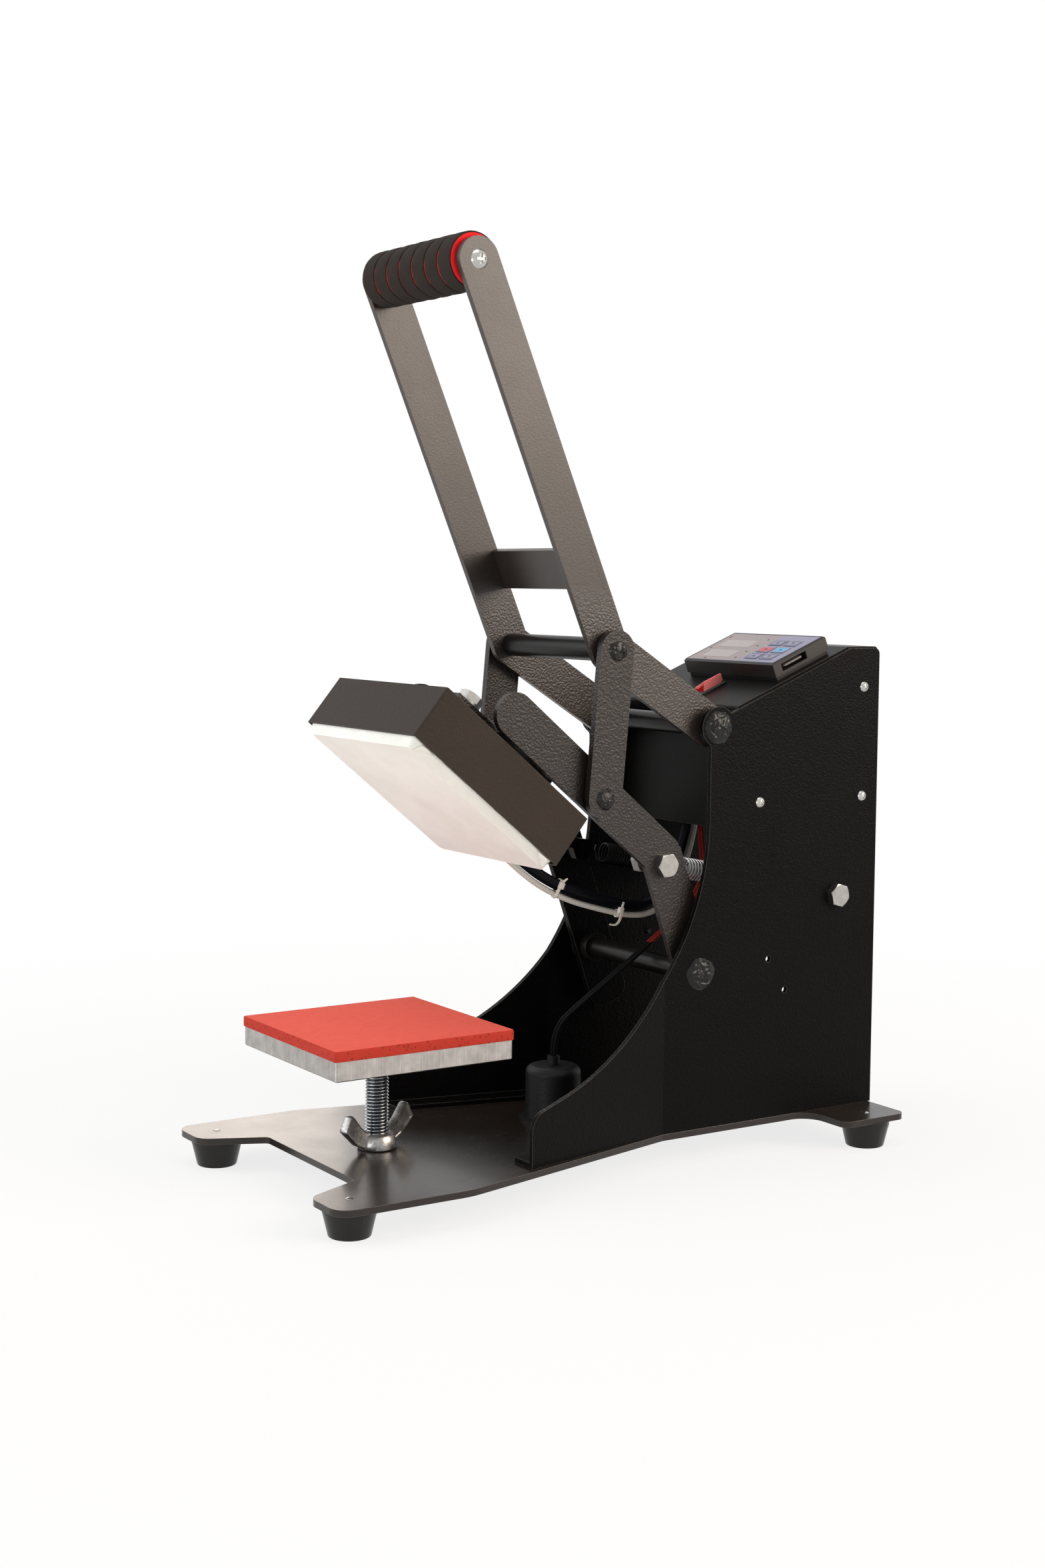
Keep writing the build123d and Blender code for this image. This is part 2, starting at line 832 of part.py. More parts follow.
def mains_inlet():
    """Mains inlet in the rear panel, with its three pins."""
    z = deck_z + inlet_height
    flange = Pos(inlet_offset, rear_y - cover_thickness - inlet_flange / 2, z) * Box(
        inlet_size[0], inlet_flange, inlet_size[1]
    )
    body = block(
        (inlet_offset - inlet_body[0] / 2, inlet_offset + inlet_body[0] / 2),
        (rear_y - inlet_depth, rear_y - 0.2),
        (z - inlet_body[1] / 2, z + inlet_body[1] / 2),
    )
    body = chamfer(body.edges().filter_by(Axis.Y).sort_by(Axis.Z)[-2:], 4.0)
    mouth = block(
        (inlet_offset - inlet_body[0] / 2 + 2, inlet_offset + inlet_body[0] / 2 - 2),
        (rear_y - inlet_depth + 7, rear_y + 1),
        (z - inlet_body[1] / 2 + 2, z + inlet_body[1] / 2 - 4.5),
    )
    shell = flange + body - mouth
    for x, dz in ((-7, -2.5), (0, 2.0), (7, -2.5)):
        shell += block(
            (inlet_offset + x - inlet_pin_size[1] / 2, inlet_offset + x + inlet_pin_size[1] / 2),
            (rear_y - inlet_depth + 6, rear_y - 4),
            (z + dz - inlet_pin_size[0] / 2, z + dz + inlet_pin_size[0] / 2),
        )
    return shell


def transformer():
    """Potted can on the deck behind the platen, with a terminal stud on top."""
    y = rear_y - transformer_from_rear
    low = deck_z
    can = post(transformer_offset, y, transformer_radius, low, low + transformer_height)
    can = fillet(can.faces().sort_by(Axis.Z)[-1].edges(), 6.0)
    can += post(transformer_offset, y, transformer_flange_radius, low, low + transformer_flange)
    top = low + transformer_height
    stud_top = top + transformer_stud_height
    return can + post(transformer_offset, y, transformer_stud_radius, top - 1.0, stud_top)


# Lower platen and its screw


def silicone_pad():
    """Sponge pad lying on the platen."""
    low = (Align.CENTER, Align.CENTER, Align.MIN)
    pad = Pos(0, platen_y, pad_top_z - pad_thickness) * Box(pad_size, pad_size, pad_thickness, align=low)
    return fillet(pad.edges().filter_by(Axis.Z), 1.5)


def lower_platen():
    """Sawn aluminium plate with a round boss below it for the top of the screw."""
    size = pad_size - 2 * platen_overhang
    low = (Align.CENTER, Align.CENTER, Align.MIN)
    plate = Pos(0, platen_y, platen_z) * Box(size, size, platen_thickness, align=low)
    plate = fillet(plate.edges().filter_by(Axis.Z), 2.0)
    plate = chamfer(plate.faces().sort_by(Axis.Z)[0].edges(), platen_edge)
    boss = post(0, platen_y, boss_radius, platen_z - boss_height, platen_z)
    plate += fillet(boss.faces().sort_by(Axis.Z)[0].edges(), 1.2)
    socket_top = platen_z + screw_socket_depth
    return plate - post(0, platen_y, screw_radius + fixed_clearance, platen_z - boss_height, socket_top)


def platen_screw():
    """Height screw from the platen down through the deck and its nut."""
    rod = post(0, platen_y, screw_radius, screw_end_height, platen_z + screw_socket_depth)
    return chamfer(rod.faces().sort_by(Axis.Z)[0].edges(), 1.5)


def wing_nut():
    """Wing nut resting on the deck, its two wings swept up and outwards."""
    profile = make_face(
        Polyline(
            (0, 0), (wing_hub_radius, 0), (wing_hub_radius, 4), (wing_hub_top_radius, wing_hub_height),
            (0, wing_hub_height), close=True,
        )
    )
    hub = revolve(Plane.XZ * profile, Axis.Z)
    half = wing_span / 2
    wing_face = outline(
        [
            (wing_hub_top_radius - 3.0, 1.5, 0),
            (wing_hub_radius + 5.0, 2.0, 8.0),
            (half, wing_height - 10.0, 5.0),
            (half - 4.0, wing_height, 4.0),
            (half - 14.0, wing_height - 3.0, 5.0),
            (wing_hub_top_radius + 1.0, wing_hub_height, 4.0),
            (wing_hub_top_radius - 3.0, wing_hub_height, 0),
        ]
    )
    wing = extrude(Plane.XZ * wing_face, amount=wing_thickness / 2, both=True)
    nut = hub + wing + mirror(wing, about=Plane.YZ)
    nut -= post(0, 0, screw_radius + running_clearance, -1, wing_hub_height + 1)
    return Pos(0, platen_y, deck_z + seat_gap) * Rot(0, 0, wing_turn) * nut


# Lever


def lever_profile():
    """Cranked lever seen from the side: grip, knee and pivot."""
    half = lever_width / 2
    body = Pos(*grip) * Circle(half) + Pos(*knee) * Circle(half) + Pos(*lever_pivot) * Circle(half)
    for start, end in ((knee, grip), (knee, lever_pivot)):
        length = span(start, end)
        bar = Rectangle(length, lever_width, align=(Align.MIN, Align.CENTER))
        body += Pos(*start) * Rot(0, 0, bearing(start, end)) * bar
    return body


def lever_arm():
    """Right lever arm, notched at its rear edge for the tie plate."""
    arm = across(lever_profile(), lever_inner, lever_thickness)
    notch_height = tie_plate_height + 2 * fixed_clearance
    arm -= tie_plate_blank(notch_height, tie_plate_thickness + fixed_clearance, lever_spread)
    arm -= pin(lever_pivot, pivot_rod_radius + running_clearance, 0, plate_outer)
    arm -= pin(knee, link_pin_radius + fixed_clearance, 0, plate_outer)
    return arm - pin(grip, grip_screw_radius + fixed_clearance, 0, plate_outer)


def tie_plate_blank(height, thickness, width):
    """A plate across the lever, flush with the rear edges of its arms."""
    centre = step_from(knee, handle_bearing, tie_plate_up)
    rear = lever_width / 2
    plate = Pos(0, -rear + thickness / 2) * Rectangle(height, thickness)
    return across(Pos(*centre) * Rot(0, 0, handle_bearing) * plate, -width / 2, width)


def knee_rod():
    """Rod across the knee, turned down where it passes through the lever's arms."""
    rod = pin(knee, knee_rod_radius, -lever_inner, lever_inner)
    reach = link_inner - open_pivot_gap
    return rod + pin(knee, link_pin_radius, -reach, reach)


def knee_spacers():
    """Spacers on the knee rod, facing the links across the open pivot."""
    width = link_stand_off - open_pivot_gap
    spacer = on_x(ring(link_spacer_radius, link_pin_radius + fixed_clearance, width), knee, lever_outer)
    return pair(spacer)


def grip_rod():
    """Steel rod between the arms under the foam, tapped at both ends."""
    rod = pin(grip, grip_rod_radius, -lever_inner, lever_inner)
    depth = grip_screw_length
    for side in (-1, 1):
        end = side * lever_inner
        low, high = sorted((end, end - side * depth))
        rod -= pin(grip, grip_screw_radius + fixed_clearance, low, high)
    return rod


def grip_core():
    """Inner foam layer, seen in the grooves of the outer one."""
    half = lever_inner - grip_end_gap
    bore = pin(grip, grip_rod_radius + fixed_clearance, -half, half)
    return pin(grip, grip_core_radius, -half, half) - bore


def grip_foam():
    """Outer foam layer: rings with narrow grooves between them."""
    half = lever_inner - grip_end_gap
    pitch = (2 * half + grip_groove) / grip_rings
    rings = []
    for number in range(grip_rings):
        start = -half + number * pitch
        sleeve = pin(grip, grip_radius, start, start + pitch - grip_groove)
        sleeve = fillet(sleeve.edges().filter_by(GeomType.CIRCLE), grip_edge_radius)
        rings.append(sleeve - pin(grip, grip_core_radius, start, start + pitch))
    return group(rings)


def grip_screws():
    """Pan-head screws through the lever arms into the grip rod."""
    length = grip_screw_length + lever_thickness - 2.0
    screw = pan_screw(grip_screw_radius, length, grip_screw_head_radius, grip_screw_head_height)
    return pair(on_x(screw, grip, lever_outer))


# Links


def link():
    """Right link: flat bar with round ends, bored for its lower pin, welded knee stud on top."""
    half = link_width / 2
    bar = Rectangle(span(knee, link_pin), link_width, align=(Align.MIN, Align.CENTER))
    face = Pos(*knee) * Circle(half) + Pos(*link_pin) * Circle(half)
    face += Pos(*knee) * Rot(0, 0, bearing(knee, link_pin)) * bar
    plate = across(face, link_inner, link_thickness)
    plate -= pin(link_pin, link_pin_radius + running_clearance, 0, 2 * plate_outer)
    return plate + on_x(dome(pin_head_radius, pin_head_height), knee, link_outer)


def link_pins():
    """Pins welded to the head arms, through the links' lower bores, domed outside."""
    seat = link_outer + seat_gap
    body = pin(link_pin, link_pin_radius, arm_outer, seat)
    return pair(body + on_x(dome(pin_head_radius, pin_head_height), link_pin, seat))


# Head arms, drawn in the closed pose


def arm_profile():
    """Cranked head arm: round nose, straight run over the head, elbow, leg past its pivot."""
    low = head_top_z + arm_gap
    mid = low + arm_depth / 2
    elbow = (head_front_y + elbow_setback, mid)
    nose = head_front_y + arm_front_setback
    run = Pos((nose + elbow[0]) / 2, mid) * Rectangle(elbow[0] - nose, arm_depth)
    corners = nearest(run, (nose, low), (nose, low + arm_depth))
    run = fillet(corners, arm_nose_radius)
    leg_bearing = -arm_leg_angle + head_tilt
    leg = Rectangle(arm_leg_length, arm_leg_width, align=(Align.MIN, Align.CENTER))
    far = nearest(leg, (arm_leg_length, arm_leg_width / 2), (arm_leg_length, -arm_leg_width / 2))
    leg = fillet(far, arm_leg_width / 3)
    body = run + Pos(*elbow) * Rot(0, 0, leg_bearing) * leg
    body += Pos(*elbow) * Circle(arm_depth / 2)
    return body


def head_arm():
    """Right head arm with a notch for the hanger plate's tab."""
    arm = across(arm_profile(), arm_inner, arm_thickness)
    low = head_top_z + arm_gap
    start = head_front_y + tab_start
    notch = block(
        (0, plate_outer),
        (start - fixed_clearance, start + tab_length + fixed_clearance),
        (low - 1.0, low + hanger_thickness + fixed_clearance),
    )
    arm -= notch
    arm -= pin(arm_pivot, pivot_rod_radius + running_clearance, 0, plate_outer)
    return arm - pin(arm_bolt_closed(), bolt_radius + fixed_clearance, 0, plate_outer)


def arm_bolt_closed():
    """Place of the arm's spring bolt in the closed pose."""
    return (head_front_y + arm_bolt_setback, head_top_z + arm_bolt_rise)


def hanger_bolts():
    """Centres of the four bolts that hang the head."""
    front = head_front_y + hanger_bolt_front
    return [
        (side * hanger_bolt_spread / 2, y) for y in (front, front + hanger_bolt_pitch) for side in (-1, 1)
    ]


def hanger_plate():
    """Plate across the arms, tabbed into both, with a tongue over each pair of bolts."""
    low = head_top_z + arm_gap
    heights = (low, low + hanger_thickness)
    start = head_front_y + tab_start
    first = head_front_y + hanger_bolt_front - hanger_overreach / 2
    last = first + hanger_bolt_pitch + hanger_overreach
    plate = block((-arm_outer, arm_outer), (start, start + tab_length), heights)
    plate += block((-hanger_tongue, hanger_tongue), (first, last), heights)
    for x, y in hanger_bolts():
        plate -= post(x, y, bolt_radius + fixed_clearance, low, low + hanger_thickness)
    return plate


def hanger_spacers():
    """Spacers between the head's top and the hanger plate."""
    return group(
        [
            Pos(x, y, head_top_z) * ring(washer_radius - 1.0, bolt_radius + fixed_clearance, arm_gap)
            for x, y in hanger_bolts()
        ]
    )


def head_bolts():
    """Hexagon bolts with washers, from the hanger plate down into the heater block."""
    seat = head_top_z + arm_gap + hanger_thickness
    block_top = heater_face_z + cloth_thickness + seat_gap + heater_block_thickness
    length = seat + washer_thickness - block_top + 10.0
    pieces = []
    for x, y in hanger_bolts():
        washer = ring(washer_radius, bolt_radius + fixed_clearance, washer_thickness)
        pieces.append(Pos(x, y, seat) * washer)
        pieces.append(Pos(x, y, seat + washer_thickness) * Rot(0, 0, 10) * hex_bolt(length))
    return group(pieces)


def spring_bolt(outer_x):
    """Bolt along -X with its head outside, and two nuts on it."""
    length = outer_x - spring_bolt_reach
    bolt = on_x(Rot(0, 0, 14) * hex_bolt(length), (0, 0), outer_x)
    clamp_nut = on_x(hex_nut(), (0, 0), arm_inner - nut_height)
    end_nut = on_x(hex_nut(), (0, 0), spring_bolt_reach + 1.0)
    return [bolt, clamp_nut, end_nut]


def spring_bolts(centre, outer_x, clamp_x):
    """Spring bolts of one pair, right and left, each with its clamping and end nuts."""
    bolt, clamp_nut, end_nut = spring_bolt(outer_x)
    clamp_nut = Pos(clamp_x - arm_inner, 0, 0) * clamp_nut
    right = [Pos(0, *centre) * piece for piece in (bolt, clamp_nut, end_nut)]
    return group(right + [mirrored(piece) for piece in right])


def arm_link_spacers():
    """Spacers on the link pins, between the head arms and the links."""
    width = link_stand_off - seat_gap
    disc = ring(link_spacer_radius, link_pin_radius + fixed_clearance, width)
    disc = on_x(disc, link_pin_closed, arm_outer)
    return pair(disc)


# Heater head, drawn in the closed pose


def head_cover():
    """Folded sheet box over the heater, open below."""
    low = (Align.CENTER, Align.MIN, Align.MIN)
    box = Pos(0, head_front_y, head_bottom_z) * Box(head_width, head_length, head_height, align=low)
    box = fillet(box.edges().filter_by(Axis.Z), 2.0)
    inside = Pos(0, head_front_y + head_sheet, head_bottom_z) * Box(
        head_width - 2 * head_sheet, head_length - 2 * head_sheet, head_height - head_sheet, align=low
    )
    box -= inside
    for x, y in hanger_bolts():
        box -= post(x, y, bolt_radius + fixed_clearance, head_top_z - head_sheet, head_top_z)
    return box - gland_plug(gland_neck + fixed_clearance, -2 * head_sheet)


def heater_block():
    """Cast heater plate, tapped from above for its four bolts."""
    size = heater_size - 2 * cloth_thickness - 2 * heater_block_gap
    low = (Align.CENTER, Align.CENTER, Align.MIN)
    base = heater_face_z + cloth_thickness + seat_gap
    slab = Pos(0, platen_y, base) * Box(size, size, heater_block_thickness, align=low)
    slab = fillet(slab.edges().filter_by(Axis.Z), 4.0)
    top = base + heater_block_thickness
    for x, y in hanger_bolts():
        slab -= post(x, y, bolt_radius + fixed_clearance, top - 12.0, top)
    return slab


def heating_element():
    """Tubular element bent in a U on top of the heater block."""
    top = heater_face_z + cloth_thickness + seat_gap + heater_block_thickness + element_radius
    half = element_span / 2
    reach = half + 4.0
    path = FilletPolyline(
        (-half, platen_y + reach, top),
        (-half, platen_y - half, top),
        (half, platen_y - half, top),
        (half, platen_y + reach, top),
        radius=14.0,
    )
    start = Plane(origin=(-half, platen_y + reach, top), z_dir=(0, -1, 0))
    return sweep(start * Circle(element_radius), path=path)


def cloth_cover():
    """Fitted cloth over the heater: flat below, its sides flaring up into the box's mouth."""
    wall = head_sheet + cloth_gap
    half_width = head_width / 2 - wall
    mouth_front = head_front_y + wall
    mouth_rear = head_rear_y - wall - cloth_rear_gap
    mouth_z = head_bottom_z - cloth_gap

    def hull(inset):
        face = heater_size - 2 * inset
        lower = Pos(0, platen_y, heater_face_z + inset) * RectangleRounded(face, face, 5.0)
        upper = Pos(0, (mouth_front + mouth_rear) / 2, mouth_z) * RectangleRounded(
            2 * (half_width - inset), mouth_rear - mouth_front - 2 * inset, 6.0
        )
        return loft([lower, upper], ruled=True) + extrude(upper, amount=cloth_tuck)

    return hull(0) - hull(cloth_thickness)


def lead_starts():
    """Closed-pose (x, z) places where the two heater leads leave the head's rear wall."""
    low = head_bottom_z + lead_rise
    return [(lead_offset, low), (lead_offset, low + lead_radii_gap)]


def gland_plug(rim, depth):
    """Pear-shaped plug on the head's rear wall, round both leads by a rim."""
    x, z = lead_starts()[0]
    wall = Plane(origin=(x, head_rear_y, z), x_dir=(-1, 0, 0), z_dir=(0, 1, 0))
    return extrude(wall * loop_face(rim), amount=depth)


def lead_gland():
    """Rubber gland in the head's rear wall, with one bore for both leads."""
    gland = gland_plug(gland_rim, gland_length) + gland_plug(gland_neck, -head_sheet)
    return gland - gland_plug(fixed_clearance, 2 * gland_length) - gland_plug(fixed_clearance, -gland_length)


# Cords


def corner_radii(points):
    """Arc radii for a cord's route: as large as the two runs at each corner allow."""
    radii = []
    for before, here, after in zip(points, points[1:], points[2:]):
        first = Vector(*here) - Vector(*before)
        second = Vector(*after) - Vector(*here)
        turn = radians(first.get_angle(second))
        radii.append(0.45 * min(first.length, second.length) / tan(turn / 2))
    return radii


def tube(name, points, radius):
    """A cord as a tube of straight runs joined by tangent arcs."""
    radii = corner_radii(points)
    path = FilletPolyline(*points, radius=radii)
    first = Vector(*points[1]) - Vector(*points[0])
    solid = sweep(Plane(origin=points[0], z_dir=first) * Circle(radius), path=path)
    print(name, "length", round(path.length, 1), "radii", [round(r) for r in radii])
    print(name, "volume over section times length", round(solid.volume / (pi * radius**2 * path.length), 4))
    return solid


def upper_side(start, end):
    """Unit vector square to a run of a cord, in the side view, on its upper or front side."""
    along = Vector(*end) - Vector(*start)
    return Vector(0, -along.Z, along.Y).normalized()


def beside(points, shift):
    """A route that keeps its distance beside another one, on its upper side."""
    sides = [upper_side(start, end) for start, end in zip(points, points[1:])]
    route = []
    for here, before, after in zip(points, [sides[0], *sides], [*sides, sides[-1]]):
        route.append(tuple(Vector(*here) + (before + after) * (shift / (1 + before.dot(after)))))
    return route


def cable_ties():
    """Two nylon ties round both heater leads, each with its small lock."""
    points = heater_lead_points()
    ties = []
    for run in tie_runs:
        start, end = Vector(*points[run]), Vector(*points[run + 1])
        along = (end - start).normalized()
        across_x = upper_side(points[run], points[run + 1]).cross(along)
        at = Plane(origin=(start + end) * 0.5, x_dir=across_x, z_dir=along)
        band = at * (loop_face(tie_clearance + tie_band) - loop_face(tie_clearance))
        band = extrude(band, amount=tie_width / 2, both=True)
        lock_at = lead_radii_gap + heater_sleeve_radius + tie_clearance + tie_band + tie_lock[1] / 2
        ties.append(band + at * (Pos(0, lock_at, 0) * Box(*tie_lock)))
    return group(ties)


def loop_face(rim):
    """Outline round the two leads in section, wider by a rim."""
    low = Circle(heater_lead_radius + rim)
    high = Pos(0, lead_radii_gap) * Circle(heater_sleeve_radius + rim)
    return make_hull([*low.edges(), *high.edges()])


# Return springs


def biarc(start, start_dir, end, end_dir):
    """Two arcs that leave one point along a direction and reach another along its own."""
    start, end = Vector(*start), Vector(*end)
    t0, t1 = Vector(*start_dir).normalized(), Vector(*end_dir).normalized()
    chord = end - start
    both = t0 + t1
    bend = 2 * (1 - t0.dot(t1))
    along = chord.dot(both)
    if bend < 1e-9:
        reach = chord.dot(chord) / (4 * chord.dot(t1))
    else:
        reach = (sqrt(along**2 + bend * chord.dot(chord)) - along) / bend
    middle = (start + end + (t0 - t1) * reach) * 0.5
    first = Edge.make_tangent_arc(start, t0, middle)
    return [first, Edge.make_tangent_arc(middle, first.tangent_at(1), end)]


def spring_route(length):
    """Points and directions along a spring that lies on +X, hooked over pins at both ends."""
    hook = bolt_radius + spring_wire_radius + open_pivot_gap
    coil = spring_coil_radius
    twist = 0.5
    rise = spring_pitch / (2 * pi)
    nodes = []
    for angle in (-110, 180, 90):
        c, s = cos(radians(angle)), sin(radians(angle))
        nodes.append(((hook * c, hook * s, 0), (s, -c, 0)))
    nodes.append(((spring_front_lead - spring_bend, hook, 0), (1, 0, 0)))
    for half_turn in range(2 * spring_turns + 1):
        angle = pi * half_turn + twist
        x = spring_front_lead + rise * (angle - twist)
        nodes.append(
            ((x, coil * cos(angle), coil * sin(angle)), (rise, -coil * sin(angle), coil * cos(angle)))
        )
    coil_end = spring_front_lead + spring_pitch * spring_turns
    nodes.append(((coil_end + spring_bend + 2.0, hook, 0), (1, 0, 0)))
    nodes.append(((length, hook, 0), (1, 0, 0)))
    for angle in (0, -70):
        c, s = cos(radians(angle)), sin(radians(angle))
        nodes.append(((length + hook * c, hook * s, 0), (s, -c, 0)))
    return nodes


def return_spring():
    """Extension spring from the arm's bolt to the rear bolt, as one unbroken tube."""
    front = opened_point(arm_bolt_closed())
    nodes = spring_route(span(front, rear_bolt))
    edges = []
    for (p0, d0), (p1, d1) in zip(nodes, nodes[1:]):
        straight = (Vector(*p1) - Vector(*p0)).normalized().dot(Vector(*d0).normalized()) > 1 - 1e-9
        if straight and Vector(*d0).dot(Vector(*d1)) > 1 - 1e-9:
            edges.append(Edge.make_line(p0, p1))
        else:
            edges += biarc(p0, d0, p1, d1)
    route = Wire(edges)
    start = Plane(origin=nodes[0][0], z_dir=nodes[0][1])
    wire = sweep(start * Circle(spring_wire_radius), path=route)
    report_spring_gap(edges)
    direction = bearing(front, rear_bolt)
    lay = Plane(
        origin=(spring_x, *front),
        x_dir=(0, cos(radians(direction)), sin(radians(direction))),
        z_dir=(1, 0, 0),
    )
    return lay * wire


def opened_point(closed):
    """A (y, z) point of the head in the open pose."""
    return turned(closed, arm_pivot, -head_tilt)


def report_spring_gap(edges):
    """Print the least gap between the spring's wire and itself, from points along it."""
    steps = 5
    points = [edge.position_at(i / steps) for edge in edges for i in range(steps)]
    along = [0.0]
    for a, b in zip(points, points[1:]):
        along.append(along[-1] + (b - a).length)
    least = min(
        (points[i] - points[j]).length
        for i in range(len(points))
        for j in range(i + 1, len(points))
        if along[j] - along[i] > 6 * spring_wire_radius * 2
    )
    print("spring least gap to itself", round(least - 2 * spring_wire_radius, 2))


def heater_lead_points():
    """Route of the braided heater lead, from inside the head's rear wall to the terminals."""
    (x, z), _ = lead_starts()
    start = opened_point((head_rear_y - head_sheet, z))
    clear = opened_point((head_rear_y + lead_straight, z))
    return [(x, *start), (x, *clear), *lead_route, (lead_route[-1][0], lead_route[-1][1], terminal_z)]


# Power leads from the terminals in the box to the potted can
stud_top_z = deck_z + transformer_height + transformer_stud_height
power_lead_points = (
    (24.0, 126.0, terminal_z),
    (24.0, 126.0, 263.0),
    (24.0, 127.5, 246.0),
    (24.0, 130.0, 229.0),
    (24.0, 128.0, 211.0),
    (24.5, 117.0, 195.0),
    (25.0, 100.0, 182.0),
    (25.0, 81.0, 170.0),
    (21.0, 62.0, 154.0),
    (15.0, 42.0, 137.0),
    (6.0, 22.0, 119.0),
    (transformer_offset, rear_y - transformer_from_rear, 99.0),
    (transformer_offset, rear_y - transformer_from_rear, stud_top_z),
)


def power_leads():
    """Two insulated leads side by side, from the power board down to the can."""
    shift = lead_radius + 0.3
    leads = []
    for side in (-1, 1):
        points = [(x + side * shift, y, z) for x, y, z in power_lead_points]
        leads.append(tube("power lead", points, lead_radius))
    return group(leads)


def build_parts():
    """Every node of the press, by name."""
    right_plate = side_plate()
    right_arm = opened(head_arm())
    right_lever = lever_arm()
    right_link = link()
    spring = return_spring()
    lead_points = heater_lead_points()
    parts = {
        "base_plate": base_plate(),
        "rubber_feet": group([Pos(x, y, 0) * rubber_foot() for x, y in foot_places()]),
        "foot_screws": group([Pos(x, y, 0) * foot_screw() for x, y in foot_places()]),
        "platen_base_nut": base_nut(),
        "side_plate_right": right_plate,
        "side_plate_left": mirrored(right_plate),
        "lever_pivot_rod": pivot_rod(lever_pivot),
        "arm_pivot_rod": pivot_rod(arm_pivot),
        "pivot_collars": group(
            [collars(lever_pivot, lever_outer, lever_inner), collars(arm_pivot, arm_outer, arm_inner)]
        ),
        "control_cover": control_cover(),
        "cover_screws": cover_screws(),
        "controller_base": controller_base(),
        "controller_housing": controller_housing(),
        "controller_overlay": controller_overlay(),
        "rocker_bezel": rocker_bezel(),
        "rocker_switch": rocker_switch(),
        "power_board": power_board(),
        "mains_inlet": mains_inlet(),
        "potted_transformer": transformer(),
        "power_leads": power_leads(),
        "silicone_pad": silicone_pad(),
        "lower_platen": lower_platen(),
        "platen_screw": platen_screw(),
        "wing_nut": wing_nut(),
        "lever_arm_right": right_lever,
        "lever_arm_left": mirrored(right_lever),
        "lever_tie_plate": tie_plate_blank(tie_plate_height, tie_plate_thickness, lever_spread),
        "knee_rod": knee_rod(),
        "knee_spacers": knee_spacers(),
        "grip_rod": grip_rod(),
        "grip_core": grip_core(),
        "grip_foam": grip_foam(),
        "grip_screws": grip_screws(),
        "link_right": right_link,
        "link_left": mirrored(right_link),
        "link_pins": link_pins(),
        "head_arm_right": right_arm,
        "head_arm_left": mirrored(right_arm),
        "hanger_plate": opened(hanger_plate()),
        "hanger_spacers": opened(hanger_spacers()),
        "head_bolts": opened(head_bolts()),
        "arm_link_spacers": opened(arm_link_spacers()),
        "arm_spring_bolts": opened(spring_bolts(arm_bolt_closed(), arm_outer, arm_inner)),
        "rear_spring_bolts": spring_bolts(rear_bolt, plate_outer, plate_inner),
        "return_spring_right": spring,
        "return_spring_left": mirrored(spring),
        "head_cover": opened(head_cover()),
        "heater_block": opened(heater_block()),
        "heating_element": opened(heating_element()),
        "heater_cloth": opened(cloth_cover()),
        "lead_gland": opened(lead_gland()),
        "heater_lead": tube("heater lead", lead_points, heater_lead_radius),
        "heater_sleeve": tube("heater sleeve", beside(lead_points, lead_radii_gap), heater_sleeve_radius),
        "cable_ties": cable_ties(),
    }
    for number, (x, y) in enumerate(key_places(), start=1):
        parts[f"key_{number}"] = key(x, y)
    return parts


os.makedirs("parts", exist_ok=True)
for name, shape in build_parts().items():
    export_step(shape, f"parts/{name}.step")
print("lever swing", round(lever_swing, 3), "head swing", head_tilt, "link swing", round(link_swing, 3))
print("knee", knee, "grip", grip, "link pin", link_pin, "link length", round(link_length, 2))
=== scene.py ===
"""Studio picture of a label heat press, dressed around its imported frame.

Lengths in the classes are millimetres along the frame's own axes: X to the
right, Y to the rear and Z up. Meshes and curves are written in metres.
"""

import logging
from collections.abc import Iterable, Sequence
from dataclasses import dataclass, field
from enum import StrEnum
from math import asin, atan2, cos, exp, hypot, pi, radians, sin, tan, tau
from random import Random

import bmesh
import bpy
from mathutils import Matrix, Vector, noise


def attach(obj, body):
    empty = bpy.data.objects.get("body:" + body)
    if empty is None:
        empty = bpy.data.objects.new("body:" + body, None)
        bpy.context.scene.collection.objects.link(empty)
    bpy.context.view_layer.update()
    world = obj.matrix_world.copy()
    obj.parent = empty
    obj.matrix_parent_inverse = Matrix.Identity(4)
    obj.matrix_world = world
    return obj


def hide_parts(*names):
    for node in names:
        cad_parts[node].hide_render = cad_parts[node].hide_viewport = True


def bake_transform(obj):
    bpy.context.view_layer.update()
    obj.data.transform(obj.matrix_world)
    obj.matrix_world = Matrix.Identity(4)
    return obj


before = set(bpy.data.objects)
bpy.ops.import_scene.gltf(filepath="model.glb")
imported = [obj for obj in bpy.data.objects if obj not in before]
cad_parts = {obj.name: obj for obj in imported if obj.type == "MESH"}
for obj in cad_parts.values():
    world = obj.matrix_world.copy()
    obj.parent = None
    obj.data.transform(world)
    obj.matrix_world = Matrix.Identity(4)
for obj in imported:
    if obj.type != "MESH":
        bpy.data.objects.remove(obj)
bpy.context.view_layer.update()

MM = 0.001
# At scale 1, Blender's wave texture has a band every 0.314 units
WAVE_BAND = 0.314
log = logging.getLogger("press")

Row = list[Vector]
Pair = tuple[float, float]
Triple = tuple[float, float, float]
Profile = list[Pair]
Tree = bpy.types.NodeTree
Socket = bpy.types.NodeSocket


class Body(StrEnum):
    """The moving bodies that pieces ride on, apart from the six keys."""

    FRAME = "frame"
    LEVER = "lever"
    LINKS = "links"
    HEAD = "head"
    PLATEN = "platen"
    WING_NUT = "wing_nut"
    ROCKER = "rocker"


